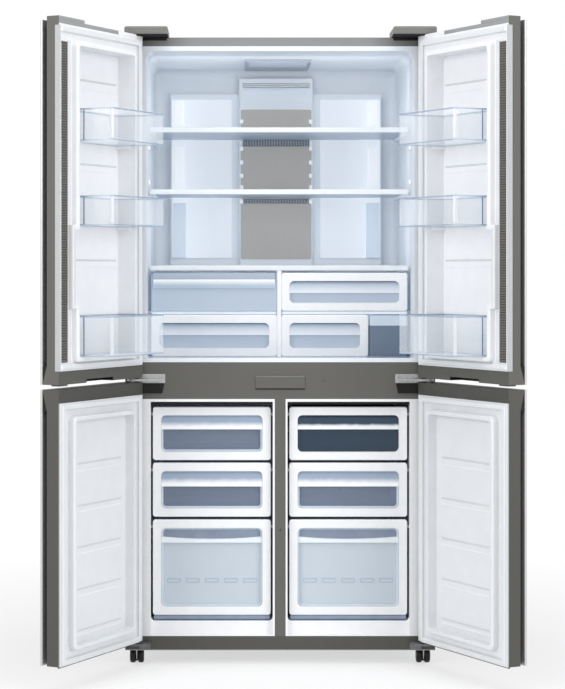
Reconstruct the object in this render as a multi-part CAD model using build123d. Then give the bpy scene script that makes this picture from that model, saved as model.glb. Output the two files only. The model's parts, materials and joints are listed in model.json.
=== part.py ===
from build123d import *
import os
from math import cos, radians, sin

# The cabinet. X runs to the right, Y to the back and Z up; the floor is Z = 0.
cabinet_width = 892.0
cabinet_depth = 698.0
cabinet_bottom = 40.0
base_plate = 2.0
cabinet_top = 1803.0
sheet = 1.2
sheet_bend = 1.8
liner_wall = 2.5
rail_depth = 12.0
top_rail_height = 25.0
middle_rail_top = 869.0
middle_rail_bottom = 763.0
bottom_rail_top = 81.0
mullion_width = 31.4
mullion_depth = 6.0
rail_plate_width = 144.0
rail_plate_height = 36.0
rail_plate_bottom = 793.0
rail_plate_proud = 3.0
rail_plate_edge = 1.2

# How far a cut runs past the face that it opens, and a root into what carries it
overrun = 1.0

# The two compartments
fridge_half_width = 385.0
fridge_floor = 881.0
ceiling_drop = 13.0
fridge_back = 592.0
freezer_half_width = 373.0
freezer_floor = 83.5
freezer_ceiling = 755.0
threshold_front = 18.0
threshold_depth = 70.0
threshold_top = 122.0
partition_width = 42.0
bay_back = 500.0
chamber_back = 590.0
step_wall = 40.0
step_top = 320.0
machine_room_depth = 258.0
machine_room_top = 300.0
louvre_start = 30.0
louvre_pitch = 16.0
louvre_height = 6.0
louvre_length = 300.0
louvre_rows = 10

# The doors, drawn shut and then swung open about their pins
centre_gap = 6.0
door_gap = 12.0
door_frame_depth = 38.0
grip_width = 14.0
grip_depth = 25.0
upper_grip_block = 50.0
lower_grip_block = 58.0
door_panel_thickness = 8.0
upper_door_bottom = 826.0
door_over_top = 3.0
lower_door_bottom = 72.0
lower_door_top = 813.0
pivot_inset = 22.0
pivot_behind = 21.0
open_angle = 117.7
# The outer corner beside the hinge is round, so that it passes the cabinet's front.
door_corner = 32.0
panel_edge_round = 3.0
cap_length = 130.0
cap_height = 9.0
notch_start = 140.0
notch_length = 140.0
notch_height = 10.0
stop_start = 10.0
stop_length = 40.0
stop_height = 4.0
stop_front = 8.0
stop_back = 4.0

# The inner side of the doors
liner_hinge_margin = 20.0
liner_flange = 4.0
upper_liner_bottom = 863.0
liner_top_margin = 16.0
lower_liner_top = 777.0
wrap_depth = 12.0
wrap_wall = 2.0
liner_edge_rise = 6.0
liner_edge_width = 3.0
ridge_width = 12.0
ridge_clearance = 5.0
upper_ridge_rise = 22.0
upper_ridge_inset = 59.0
upper_ridge_bottom = 886.0
upper_ridge_top_inset = 38.0
lower_ridge_rise = 25.0
lower_ridge_inset = 41.0
lower_ridge_bottom = 111.0
lower_ridge_top = 740.0
ridge_corner = 16.0
ridge_round = 4.0
wide_ridge_edge = 2.4
upper_recess_depth = 35.0
lower_recess_depth = 3.0
recess_corner = 8.0
wide_recess_bottom = 1042.0
wide_recess_top = 1243.0
wide_recess_step = 21.0
wide_recess_length = 120.0
embossing_height = 2.0
embossing_width = 16.0
embossing_margin = 24.0
upper_embossing_drops = (609.0, 347.0, 112.0)
lower_embossings = (149.0, 256.0, 366.0, 481.0, 597.0)
gasket_width = 18.0
gasket_margin = 2.0
gasket_clearance = 0.4
seal_width = 32.0
seal_base = 1.5
seal_margin = 12.0
lip_width = 16.0
lip_rise = 6.0
lip_round = 3.0
rib_pitch = 12.0
rib_height = 2.0
rib_width = 7.0

# Door bins
high_bin_drops = (268.0, 497.0)
low_bin_rise = 14.0
bin_heights = (88.0, 81.0, 110.0)
bin_wall = 2.5
bin_reach = 115.0
bin_free_gap = 16.0
bin_side_gap = 4.0
bin_flare_side = 72.0
bin_flare_clearance = 3.0
bin_corner = 12.0
bin_back_gap = 1.0
lug_reach = 5.0
lug_height = 8.0
lug_setback = 12.0
lug_root = 1.0
seat_gap = 0.3

# Hinges
pin_radius = 6.0
pin_length = 22.0
pin_clearance = 0.05
pin_room = 2.0
pin_root = 1.0
hinge_plate = 5.0
top_hinge_gap = 2.0
top_hinge_depth = 90.0
top_hinge_width = 84.0
top_hinge_start = 4.0
cover_height = 27.0
cover_gap = 2.0
cover_width = 124.0
cover_front = 55.0
cover_depth = 100.0
cover_wall = 2.5
cover_round = 6.0
cover_skirt_front = 3.0
cover_overlap = 1.0
bracket_width = 75.0
bracket_setback = 40.0
bracket_height = 26.0
bracket_bottom = 809.0
bracket_thickness = 3.0
arm_thickness = 6.0
arm_boss = 14.0
arm_length = 65.0
arm_overlap = 26.0
lower_bracket_bottom = 44.0
lower_bracket_height = 22.0
lower_bracket_width = 33.0
bracket_block_height = 29.0
bracket_block_depth = 7.0
web_inset = 2.0

# Shelves
shelf_half_width = 378.0
shelf_front = 110.0
shelf_back = 545.0
shelf_trim_height = 15.0
shelf_trim_depth = 18.0
shelf_shares = (0.6567, 0.3619)
drawer_shelf_top = 1147.5
glass_thickness = 5.0
glass_drop = 5.0
ledge_width = 16.0
ledge_height = 8.0
ledge_start_gap = 4.0
trim_round = 3.0
back_trim_depth = 12.0
back_trim_height = 8.0

# Fridge drawers and tank
crisper_front = 110.0
crisper_depth = 400.0
crisper_outer = 376.0
divider_width = 12.0
divider_overrun = 10.0
upper_crisper_bottom = 1014.0
upper_crisper_headroom = 21.5
lower_crisper_top = 1003.0
tank_width = 111.0
tank_gap = 4.0
tank_height = 120.0
tank_depth = 300.0
tank_wall = 3.0
tank_cap = 30.0
tank_cap_overlap = 1.0
tank_corner = 6.0
frame_thickness = 14.0
frame_margin = 24.0
basket_side_gap = 1.0
frame_corner = 8.0
frame_round = 3.0
window_corner = 14.0
drawer_wall = 2.5
tray_corner = 5.0
grip_opening = 26.0
basket_drop = 12.0
case_drop = 4.0
case_lip_margin = 6.0
case_lip_proud = 4.0
case_lip_drop = 20.0
case_lip_height = 24.0
case_lip_round = 1.5

# Freezer drawers
drawer_front = 20.0
drawer_gap = 5.7
deep_drawer = 450.0
short_drawer_gap = 35.0
drawer_levels = ((585.0, 739.0), (421.5, 577.5), (138.0, 413.5))
basket_inset = 14.5
rim_width = 9.0
rim_height = 4.0
rim_drop = 14.0
rim_start = 6.0
basket_lift = 6.0

# Air ducts, lights and cooling plates on the back wall
duct_half_width = 334.0
duct_front = 576.0
duct_bottom = 1150.0
duct_drop = 75.0
tower_half_width = 117.0
tower_front = 558.0
tower_drop = 27.0
tower_vent_drop = 30.0
tower_vent_height = 18.0
tower_slot_depth = 12.0
slot_margin = 6.0
duct_corner = 8.0
tower_vent_bars = 3
plate_half_width = 111.0
plate_thickness = 2.0
plate_foot = 18.0
plate_ends_under_shelf = (27.0, 29.0)
plate_starts_under_shelf = (12.0, 8.0)
plate_top_drop = 68.0
light_inner = 140.0
light_width = 189.0
light_strip = 40.0
light_foot = 22.0
light_drop = 18.0
light_corner = 4.0
light_thickness = 8.0
light_strip_proud = 3.0
vent_half_width = 100.0
vent_front = 230.0
vent_length = 290.0
vent_drop = 8.0
vent_edge = 4.0
vent_bars = 6
vent_bar_start = 24.0
vent_bar_pitch = 16.0
vent_bar_gap = 7.0
vent_margin = 14.0
vent_skin = 2.0
plate_corner = 6.0

# Front casters and rear rollers
caster_setback = 33.0
caster_y = 28.0
caster_radius = 22.0
caster_width = 40.0
caster_slot = 6.0
fork_thickness = 3.0
fork_length = 24.0
well_margin = 4.0
fork_strap = 2.0
strap_room = 2.0
roller_room = 3.0
wheel_edge = 6.0
roller_edge = 1.5
well_height = 12.0
roller_setback = 46.0
roller_back_gap = 58.0
roller_radius = 22.0
roller_width = 24.0
axle_radius = 4.0
axle_seat = 8.0
pin_fit = 0.05
ear_thickness = 3.0
ear_gap = 0.5
ear_length = 36.0

# Cooling machinery
compressor_setback = 216.0
compressor_back_gap = 130.0
compressor_radius = 82.0
compressor_height = 150.0
compressor_dome = 41.0
compressor_plate = 8.0
compressor_foot = 16.0
compressor_foot_step = 10.0
compressor_foot_corner = 12.0
condenser_left = -60.0
condenser_length = 330.0
condenser_fins = 14
condenser_depth = 90.0
condenser_height = 130.0
condenser_back_gap = 128.0
evaporator_length = 480.0
evaporator_fins = 16
evaporator_height = 190.0
evaporator_depth = 50.0
fin_thickness = 1.5
tube_overrun = 8.0
cover_slots = 6
cover_slot_start = 40.0
cover_slot_pitch = 22.0
cover_slot_height = 8.0
cover_slot_length = 180.0
tube_radius = 5.0
tube_shares = (0.25, 0.75)
fan_height = 655.0
fan_radius = 52.0
fan_hub_radius = 14.0
fan_hub_length = 18.0
fan_blades = 5
fan_blade_thickness = 2.0
fan_blade_root = 3.0
fan_blade_chord = 30.0
fan_pitch = 32.0
fan_shaft_radius = 3.0
fan_motor_radius = 20.0
fan_motor_length = 40.0
fan_back_gap = 4.0
back_cover_thickness = 3.0
fan_opening = 58.0

# What follows from the sizes above
half = cabinet_width / 2
inner_half = half - sheet
free_x = centre_gap / 2
hinge_x = half
door_inner = -door_gap
body_front = door_inner - door_frame_depth - grip_width
panel_front = body_front - door_panel_thickness
pivot_x = half - pivot_inset
pivot_y = door_inner - pivot_behind
liner_hinge_x = half - liner_hinge_margin
base_top = cabinet_bottom + base_plate
lower_liner_bottom = lower_door_bottom
top_rail_bottom = cabinet_top - top_rail_height
fridge_ceiling = top_rail_bottom - ceiling_drop
upper_door_top = cabinet_top + door_over_top
upper_liner_top = upper_door_top - liner_top_margin
upper_ridge_top = upper_liner_top - upper_ridge_top_inset
upper_embossings = tuple(upper_ridge_top - drop for drop in upper_embossing_drops)
bin_bottoms = tuple(upper_ridge_top - drop for drop in high_bin_drops)
bin_bottoms += (upper_ridge_bottom + low_bin_rise,)
upper_crisper_top = drawer_shelf_top - upper_crisper_headroom
clear_height = fridge_ceiling - drawer_shelf_top
shelf_tops = tuple(drawer_shelf_top + share * clear_height for share in shelf_shares)
duct_top = fridge_ceiling - duct_drop
tower_top = fridge_ceiling - tower_drop
tower_vent_bottom = tower_top - tower_vent_drop
light_top = duct_top - light_drop
light_bottom = duct_bottom + light_foot
plate_levels = (
    (duct_bottom + plate_foot, shelf_tops[1] - plate_ends_under_shelf[0]),
    (shelf_tops[1] - plate_starts_under_shelf[0], shelf_tops[0] - plate_ends_under_shelf[1]),
    (shelf_tops[0] - plate_starts_under_shelf[1], tower_vent_bottom - plate_top_drop),
)
machine_room_front = cabinet_depth - machine_room_depth
step_front = machine_room_front - step_wall
short_drawer = step_front - drawer_front - short_drawer_gap
compressor_x = compressor_setback - half
compressor_y = cabinet_depth - compressor_back_gap
condenser_y = cabinet_depth - condenser_back_gap
roller_y = cabinet_depth - roller_back_gap
roller_x = half - roller_setback
caster_x = half - caster_setback
bracket_outer = half - bracket_setback
back_face = cabinet_depth - sheet
# The origin is the middle of the floor that the refrigerator covers with its doors
# open, so the cabinet's front lies behind it by half of what the doors do not reach.
swing = radians(open_angle)
edge_behind = door_inner + liner_edge_rise - pivot_y
door_reach = pivot_y - (pivot_x - free_x) * sin(swing) + edge_behind * cos(swing)
front_y = -(cabinet_depth + door_reach) / 2


def block(x0, x1, y0, y1, z0, z1):
    """A box between two corners."""
    centre = Pos((x0 + x1) / 2, (y0 + y1) / 2, (z0 + z1) / 2)
    return centre * Box(x1 - x0, y1 - y0, z1 - z0)


def rounded(x0, x1, y0, y1, z0, z1, axis, radius):
    """A box whose edges along one axis are rounded."""
    body = block(x0, x1, y0, y1, z0, z1)
    return fillet(body.edges().filter_by(axis), radius)


def upright(x, y, z0, z1, radius):
    """A round bar that stands on z0."""
    return Pos(x, y, (z0 + z1) / 2) * Cylinder(radius, z1 - z0)


def along_y(x, y0, y1, z, radius):
    """A round bar that runs towards the back."""
    return Pos(x, (y0 + y1) / 2, z) * Rot(90, 0, 0) * Cylinder(radius, y1 - y0)


def along_x(x0, x1, y, z, radius):
    """A round bar that runs across."""
    return Pos((x0 + x1) / 2, y, z) * Rot(0, 90, 0) * Cylinder(radius, x1 - x0)


def other_side(shape):
    """The same piece on the left of the refrigerator."""
    return mirror(shape, about=Plane.YZ)


def swung(shape):
    """A piece of the right doors, turned about the hinge pins to where it stands open."""
    return Pos(pivot_x, pivot_y, 0) * Rot(0, 0, open_angle) * Pos(-pivot_x, -pivot_y, 0) * shape


def fridge_space(grow):
    """The fridge compartment, grown outwards to leave room for its liner."""
    wide = fridge_half_width + grow
    return block(-wide, wide, 0, fridge_back + grow, fridge_floor - grow, fridge_ceiling + grow)


def freezer_space(grow):
    """The two freezer bays and the chamber behind them."""
    inner = partition_width / 2 - grow
    outer = freezer_half_width + grow
    low = freezer_floor - grow
    step = step_top - grow
    high = freezer_ceiling + grow
    chamber = block(-outer, outer, bay_back - grow, chamber_back + grow, step, high)
    bay = block(inner, outer, 0, bay_back + grow, step, high)
    bay += block(inner, outer, 0, step_front + grow, low, step_top + grow)
    return chamber + bay + other_side(bay)


def front_rails():
    """The steel rails and the centre post of the cabinet's front."""
    top = block(-inner_half, inner_half, 0, rail_depth, top_rail_bottom, cabinet_top - sheet)
    middle = block(-inner_half, inner_half, 0, rail_depth, middle_rail_bottom, middle_rail_top)
    bottom = block(-inner_half, inner_half, 0, rail_depth, base_top, bottom_rail_top)
    post = block(
        -mullion_width / 2, mullion_width / 2, 0, mullion_depth, bottom_rail_top, middle_rail_bottom
    )
    return [top, middle, bottom, post]


def rail_plate():
    """The raised plate on the middle rail."""
    wide = rail_plate_width / 2
    high = rail_plate_bottom + rail_plate_height
    body = block(-wide, wide, -rail_plate_proud, 0, rail_plate_bottom, high)
    return chamfer(body.faces().sort_by(Axis.Y)[0].edges(), rail_plate_edge)


def cabinet_shell():
    """The sheet that wraps the sides and the top."""
    outer = block(-half, half, 0, back_face, cabinet_bottom, cabinet_top)
    outer = fillet(outer.edges().filter_by(Axis.Y).group_by(Axis.Z)[-1], sheet_bend)
    inner = block(-inner_half, inner_half, 0, back_face, cabinet_bottom, cabinet_top - sheet)
    return outer - inner


def back_panel():
    """The sheet that shuts the back above the machine room."""
    return block(-half, half, back_face, cabinet_depth, machine_room_top, cabinet_top)


def machine_cover():
    """The louvred sheet behind the compressor."""
    body = block(-half, half, back_face, cabinet_depth, cabinet_bottom, machine_room_top)
    slots = [
        Pos(side * half / 2, 0, base_top + louvre_start + louvre_pitch * row)
        * block(-louvre_length / 2, louvre_length / 2, back_face, cabinet_depth, 0, louvre_height)
        for side in (-1, 1)
        for row in range(louvre_rows)
    ]
    return body - slots


def machine_room():
    """The room for the compressor at the bottom of the back."""
    return block(
        -inner_half, inner_half, machine_room_front, back_face, base_top, machine_room_top
    )


def caster_well():
    """The space over a front caster."""
    wide = caster_width / 2 + well_margin
    reach = caster_radius + well_margin
    front = max(caster_y - reach, rail_depth)
    top = cabinet_bottom + well_height
    return block(caster_x - wide, caster_x + wide, front, caster_y + reach, cabinet_bottom, top)


def caster_fork():
    """The plate between a front caster's wheels, with their axle."""
    wide = fork_thickness / 2
    low = caster_radius - axle_seat
    high = cabinet_bottom + well_height
    plate = block(
        caster_x - wide,
        caster_x + wide,
        caster_y - fork_length / 2,
        caster_y + fork_length / 2,
        low,
        high,
    )
    reach = caster_width / 2
    return plate + along_x(
        caster_x - reach, caster_x + reach, caster_y, caster_radius, axle_radius
    )


def base_pan():
    """The floor plate with the forks of the casters and the ears of the rollers."""
    plate = block(-inner_half, inner_half, 0, back_face, cabinet_bottom, base_top)
    plate -= caster_well()
    plate -= other_side(caster_well())
    # A strap across each well holds the caster's fork.
    strap_half = fork_length / 2
    well = caster_well().bounding_box()
    strap_y = (caster_y - strap_half, caster_y + strap_half)
    left = well.min.X - fork_strap / 2
    right = well.max.X + fork_strap / 2
    strap = block(left, right, *strap_y, well.max.Z, well.max.Z + fork_strap)
    for x in (left, right - fork_strap):
        strap += block(x, x + fork_strap, *strap_y, cabinet_bottom, well.max.Z)
    plate += strap + caster_fork()
    plate += other_side(strap + caster_fork())
    near = roller_width / 2 + ear_gap
    ear_bottom = roller_radius - axle_seat
    inner_ear = block(
        roller_x - near - ear_thickness,
        roller_x - near,
        roller_y - ear_length / 2,
        roller_y + ear_length / 2,
        ear_bottom,
        cabinet_bottom,
    )
    outer_ear = Pos(2 * near + ear_thickness, 0, 0) * inner_ear
    reach = near + ear_thickness
    axle = along_x(roller_x - reach, roller_x + reach, roller_y, roller_radius, axle_radius)
    carrier = inner_ear + outer_ear + axle
    room = block(
        roller_x - near,
        roller_x + near,
        roller_y - roller_radius - roller_room,
        roller_y + roller_radius + roller_room,
        cabinet_bottom,
        base_top,
    )
    plate -= room
    plate -= other_side(room)
    return plate + carrier + other_side(carrier)


def insulation():
    """The foam between the sheet, the liners, the rails and the machine room."""
    foam = block(-inner_half, inner_half, liner_wall, back_face, base_top, cabinet_top - sheet)
    foam -= fridge_space(liner_wall)
    foam -= freezer_space(liner_wall)
    foam -= front_rails()
    foam -= machine_room()
    room = caster_well().bounding_box()
    margin = fork_strap + strap_room
    space = block(
        room.min.X - margin, room.max.X + margin, room.min.Y, room.max.Y, base_top, room.max.Z + margin
    )
    foam -= space
    foam -= other_side(space)
    return foam


def shelf_ledge(level):
    """A moulded ledge on the fridge liner's right wall, with its top at a level."""
    return block(
        fridge_half_width - ledge_width,
        fridge_half_width,
        shelf_front + shelf_trim_depth + ledge_start_gap,
        shelf_back,
        level - ledge_height,
        level,
    )


def shelf_seats():
    """The levels on which the shelves and the upper drawers rest."""
    drops = glass_drop + glass_thickness + seat_gap
    levels = [top - drops for top in shelf_tops]
    levels.append(drawer_shelf_top - drops)
    levels.append(upper_crisper_bottom - seat_gap)
    return levels


def fridge_liner():
    """The white tub of the fridge compartment and its front flange."""
    flange = block(-inner_half, inner_half, 0, liner_wall, middle_rail_top, top_rail_bottom)
    tub = flange + fridge_space(liner_wall)
    tub -= fridge_space(0)
    ledges = [shelf_ledge(level) for level in shelf_seats()]
    for ledge in ledges:
        tub += ledge
        tub += other_side(ledge)
    return tub


def drawer_seat(level):
    """The height at which a freezer drawer's rim rests on its ledges."""
    return level[1] - rim_drop - rim_height - seat_gap


def freezer_liner():
    """The white tub of the freezer with its drawer ledges."""
    flange = block(-inner_half, inner_half, 0, liner_wall, bottom_rail_top, middle_rail_bottom)
    tub = flange + freezer_space(liner_wall)
    tub -= freezer_space(0)
    post = mullion_width / 2
    tub -= block(-post, post, 0, liner_wall, bottom_rail_top, middle_rail_bottom)
    start = drawer_front + frame_thickness + ledge_start_gap
    for level in drawer_levels:
        seat = drawer_seat(level)
        length = short_drawer if level == drawer_levels[-1] else deep_drawer
        inner = partition_width / 2
        pair = block(inner, inner + ledge_width, start, length, seat - ledge_height, seat)
        outer = freezer_half_width
        pair += block(outer - ledge_width, outer, start, length, seat - ledge_height, seat)
        tub += pair
        tub += other_side(pair)
    threshold = block(
        partition_width / 2,
        freezer_half_width,
        threshold_front,
        threshold_front + threshold_depth,
        freezer_floor,
        threshold_top,
    )
    tub += threshold
    tub += other_side(threshold)
    return tub


def drawer_divider():
    """The upright panel between the fridge drawers, with a ledge on each side."""
    wide = divider_width / 2
    back = crisper_front + crisper_depth + divider_overrun
    seat = shelf_seats()
    body = block(-wide, wide, crisper_front, back, fridge_floor, seat[2])
    trim_back = shelf_front + shelf_trim_depth
    trim_bottom = drawer_shelf_top - shelf_trim_height
    body -= block(-wide, wide, crisper_front, trim_back + seat_gap, trim_bottom, seat[2])
    reach = wide + ledge_width
    start = crisper_front + frame_thickness + ledge_start_gap
    return body + block(-reach, reach, start, back, seat[3] - ledge_height, seat[3])


def glass_shelf(top):
    """A glass pane with its front and back trims."""
    wide = shelf_half_width
    pane_front = shelf_front + shelf_trim_depth
    trim_bottom = top - shelf_trim_height
    trim = rounded(-wide, wide, shelf_front, pane_front, trim_bottom, top, Axis.X, trim_round)
    pane_top = top - glass_drop
    trim_half = wide - ledge_width
    trim_front = shelf_back - back_trim_depth
    high = pane_top + back_trim_height
    back_trim = block(-trim_half, trim_half, trim_front, shelf_back, pane_top, high)
    pane = block(-wide, wide, pane_front, shelf_back, pane_top - glass_thickness, pane_top)
    return [trim, pane, back_trim]


def drawer_shelf():
    """The fixed shelf that covers the fridge drawers."""
    return glass_shelf(drawer_shelf_top)


def window_frame(x0, x1, y, z0, z1):
    """A white drawer front with a round-cornered window through it."""
    body = rounded(x0, x1, y, y + frame_thickness, z0, z1, Axis.Y, frame_corner)
    body = fillet(body.faces().sort_by(Axis.Y)[0].edges(), frame_round)
    hole = rounded(
        x0 + frame_margin,
        x1 - frame_margin,
        y - overrun,
        y + frame_thickness + overrun,
        z0 + frame_margin,
        z1 - frame_margin,
        Axis.Y,
        window_corner,
    )
    return body - hole


def tray(x0, x1, y0, y1, z0, z1, wall, front_drop):
    """An open box whose front wall stops short of its rim."""
    outer = rounded(x0, x1, y0, y1, z0, z1, Axis.Z, tray_corner)
    high = z1 + overrun
    inner = block(x0 + wall, x1 - wall, y0 + wall, y1 - wall, z0 + wall, high)
    body = outer - inner
    if front_drop > 0:
        front = (y0 - overrun, y0 + wall + overrun)
        body -= block(x0 + wall, x1 - wall, *front, z1 - front_drop, high)
    return body


def freezer_drawer(level):
    """A freezer drawer of the right bay: white front, clear basket and side rims."""
    z0, z1 = level
    x0 = partition_width / 2 + drawer_gap
    x1 = freezer_half_width - drawer_gap
    length = short_drawer if level == drawer_levels[-1] else deep_drawer
    frame = window_frame(x0, x1, drawer_front, z0, z1)
    front = drawer_front + frame_thickness
    bx0 = x0 + basket_inset
    bx1 = x1 - basket_inset
    top = z1 - rim_drop
    basket = tray(bx0, bx1, front, length, z0 + basket_lift, top, drawer_wall, grip_opening)
    for edge in (bx0 - rim_width, bx1):
        rim_y = (front + rim_start, length - rim_start)
        basket += block(edge, edge + rim_width, *rim_y, top - rim_height, top)
    return [frame, basket]


def fridge_drawer(x0, x1, z0, z1, framed):
    """A fridge drawer: a clear basket behind a white front, or a clear case."""
    back = crisper_front + crisper_depth
    if not framed:
        body = tray(x0, x1, crisper_front, back, z0, z1 - case_drop, drawer_wall, grip_opening)
        lip_top = z1 - case_lip_drop
        lip = rounded(
            x0 + case_lip_margin,
            x1 - case_lip_margin,
            crisper_front - case_lip_proud,
            crisper_front,
            lip_top - case_lip_height,
            lip_top,
            Axis.X,
            case_lip_round,
        )
        return body + lip
    frame = window_frame(x0, x1, crisper_front, z0, z1)
    front = crisper_front + frame_thickness
    left = x0 + basket_side_gap
    right = x1 - basket_side_gap
    high = z1 - basket_drop
    basket = tray(left, right, front, back, z0, high, drawer_wall, grip_opening)
    return [frame, basket]


def water_tank():
    """The narrow tank beside the lower right drawer, with its cap."""
    x1 = crisper_outer
    x0 = x1 - tank_width
    z0 = fridge_floor + seat_gap
    y1 = crisper_front + tank_depth
    z1 = z0 + tank_height - tank_cap
    shell = rounded(x0, x1, crisper_front, y1, z0, z1, Axis.Z, tank_corner)
    shell -= block(
        x0 + tank_wall,
        x1 - tank_wall,
        crisper_front + tank_wall,
        y1 - tank_wall,
        z0 + tank_wall,
        z1 + overrun,
    )
    high = z0 + tank_height
    cap = rounded(x0, x1, crisper_front, y1, z1, high, Axis.Z, tank_corner)
    cap -= block(
        x0 + tank_wall,
        x1 - tank_wall,
        crisper_front + tank_wall,
        y1 - tank_wall,
        z1 - tank_cap_overlap,
        high - tank_wall,
    )
    return [shell, cap]


def air_ducts():
    """The duct on the back wall with its centre tower, and the vent in the ceiling."""
    duct = rounded(
        -duct_half_width,
        duct_half_width,
        duct_front,
        fridge_back,
        duct_bottom,
        duct_top,
        Axis.Y,
        duct_corner,
    )
    duct += rounded(
        -tower_half_width,
        tower_half_width,
        tower_front,
        fridge_back,
        duct_bottom,
        tower_top,
        Axis.Z,
        duct_corner,
    )
    slot_back = tower_front + tower_slot_depth
    slot_half = plate_half_width - slot_margin
    for low, high in zip(plate_levels, plate_levels[1:]):
        duct -= block(-slot_half, slot_half, tower_front, slot_back, low[1], high[0])
    pitch = tower_vent_height / tower_vent_bars
    for row in range(tower_vent_bars):
        z = tower_vent_bottom + pitch * row
        duct -= block(-slot_half, slot_half, tower_front, slot_back, z, z + pitch / 2)
    vent = block(
        -vent_half_width,
        vent_half_width,
        vent_front,
        vent_front + vent_length,
        fridge_ceiling - vent_drop,
        fridge_ceiling,
    )
    vent = chamfer(vent.faces().sort_by(Axis.Z)[0].edges(), vent_edge)
    slot_half = vent_half_width - vent_margin
    slot_bottom = fridge_ceiling - vent_drop
    for row in range(vent_bars):
        y = vent_front + vent_bar_start + row * vent_bar_pitch
        high = fridge_ceiling - vent_skin
        vent -= block(-slot_half, slot_half, y, y + vent_bar_gap, slot_bottom, high)
    return [duct, vent]


def cooling_plates():
    """The three metal plates on the front of the tower."""
    y0 = tower_front - plate_thickness
    wide = plate_half_width
    return [rounded(-wide, wide, y0, tower_front, z0, z1, Axis.Y, plate_corner) for z0, z1 in plate_levels]


def light_covers():
    """The light diffusers on the back wall, each a panel and a strip beside it."""
    strip_start = light_inner + light_width - light_strip
    y1 = duct_front
    panel = rounded(
        light_inner,
        strip_start,
        y1 - light_thickness,
        y1,
        light_bottom,
        light_top,
        Axis.Y,
        light_corner,
    )
    strip = rounded(
        strip_start,
        light_inner + light_width,
        y1 - light_thickness - light_strip_proud,
        y1,
        light_bottom,
        light_top,
        Axis.Y,
        light_corner,
    )
    return [panel, strip, other_side(panel), other_side(strip)]


def door_block(z0, z1):
    """The whole of a door, with the round outer corner beside its hinge."""
    body = block(free_x, hinge_x, panel_front, door_inner, z0, z1)
    edge = body.edges().filter_by(Axis.Z).group_by(Axis.X)[-1].sort_by(Axis.Y)[0]
    return fillet(edge, door_corner)


def door_body(z0, z1, upper):
    """The grey frame of a door and its foam, with its grip groove and pin holes."""
    body = door_block(z0, z1) & block(free_x, hinge_x, body_front, door_inner, z0, z1)
    if upper:
        body += block(free_x, free_x + cap_length, body_front, door_inner, z1, z1 + cap_height)
    groove_back = door_inner - door_frame_depth
    groove_bottom = z0 + upper_grip_block if upper else z0
    groove_top = z1 + cap_height if upper else z1 - lower_grip_block
    body -= block(free_x, free_x + grip_depth, body_front, groove_back, groove_bottom, groove_top)
    if upper:
        x = free_x + notch_start
        body -= block(x, x + notch_length, groove_back, door_inner, z0, z0 + notch_height)
        x = free_x + stop_start
        stop_y = (groove_back + stop_front, door_inner - stop_back)
        body += block(x, x + stop_length, *stop_y, z0 - stop_height, z0)
        wrap_y = door_inner - wrap_depth
        body -= block(
            free_x, free_x + wrap_wall, wrap_y, door_inner, upper_liner_bottom, upper_liner_top
        )
    body -= recess(upper, liner_wall)
    hole = pin_radius + pin_clearance
    depth = pin_length + pin_room
    body -= upright(pivot_x, pivot_y, z0, z0 + depth, hole)
    body -= upright(pivot_x, pivot_y, z1 - depth, z1, hole)
    return body


def door_panel(z0, z1):
    """The outer skin of a door."""
    body = door_block(z0, z1) & block(free_x, hinge_x, panel_front, body_front, z0, z1)
    edge = body.edges().filter_by(Axis.Z).group_by(Axis.X)[0].sort_by(Axis.Y)[0]
    return fillet(edge, panel_edge_round)


def ridge_box(upper):
    """The outline of the ridge that stands round a door's recess: x0, x1, z0, z1."""
    if upper:
        x1 = fridge_half_width - ridge_clearance
        return free_x + upper_ridge_inset, x1, upper_ridge_bottom, upper_ridge_top
    x1 = freezer_half_width - ridge_clearance
    return free_x + lower_ridge_inset, x1, lower_ridge_bottom, lower_ridge_top


def recess(upper, grow):
    """The space of a door's recess, grown into the door by the liner's wall."""
    x0, x1, z0, z1 = ridge_box(upper)
    deep = door_inner - (upper_recess_depth if upper else lower_recess_depth) - grow
    over = door_inner + (upper_ridge_rise if upper else lower_ridge_rise) + overrun
    left = x0 + ridge_width - grow
    right = x1 - ridge_width + grow
    low = z0 + ridge_width - grow
    high = z1 - ridge_width + grow
    space = rounded(left, right, deep, over, low, high, Axis.Y, recess_corner + grow)
    if upper:
        start = left - wide_recess_step
        end = start + wide_recess_length
        space += block(start, end, deep, over, wide_recess_bottom - grow, wide_recess_top + grow)
    return space


def ridge(upper):
    """The ridge as a solid block, before its recess is cut."""
    x0, x1, z0, z1 = ridge_box(upper)
    top = door_inner + (upper_ridge_rise if upper else lower_ridge_rise)
    body = rounded(x0, x1, door_inner, top, z0, z1, Axis.Y, ridge_corner)
    body = fillet(body.faces().sort_by(Axis.Y)[-1].edges(), ridge_round)
    if upper:
        start = x0 - wide_recess_step
        low = wide_recess_bottom - ridge_width
        high = wide_recess_top + ridge_width
        wide = block(start, start + wide_recess_length, door_inner, top, low, high)
        body += chamfer(wide.faces().sort_by(Axis.Y)[-1].edges(), wide_ridge_edge)
    return body


def bin_sides():
    """Where a bin starts and ends between the ridge's walls, in X."""
    x0, x1 = ridge_box(True)[:2]
    return x0 + ridge_width + bin_free_gap, x1 - ridge_width - bin_side_gap


def bin_lugs():
    """The lugs on the walls of an upper door's recess that carry the bins."""
    x0, x1 = ridge_box(True)[:2]
    bin_x0, bin_x1 = bin_sides()
    back = door_inner - upper_recess_depth - overrun
    front = door_inner + upper_ridge_rise - lug_setback
    lugs = []
    for bottom in bin_bottoms:
        top = bottom - seat_gap
        low = top - lug_height
        wall = x0 + ridge_width
        lugs.append(block(wall - lug_root, bin_x0 + lug_reach, back, front, low, top))
        wall = x1 - ridge_width
        lugs.append(block(bin_x1 - lug_reach, wall + lug_root, back, front, low, top))
    inside = recess(True, lug_root)
    return [lug & inside for lug in lugs]


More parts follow.
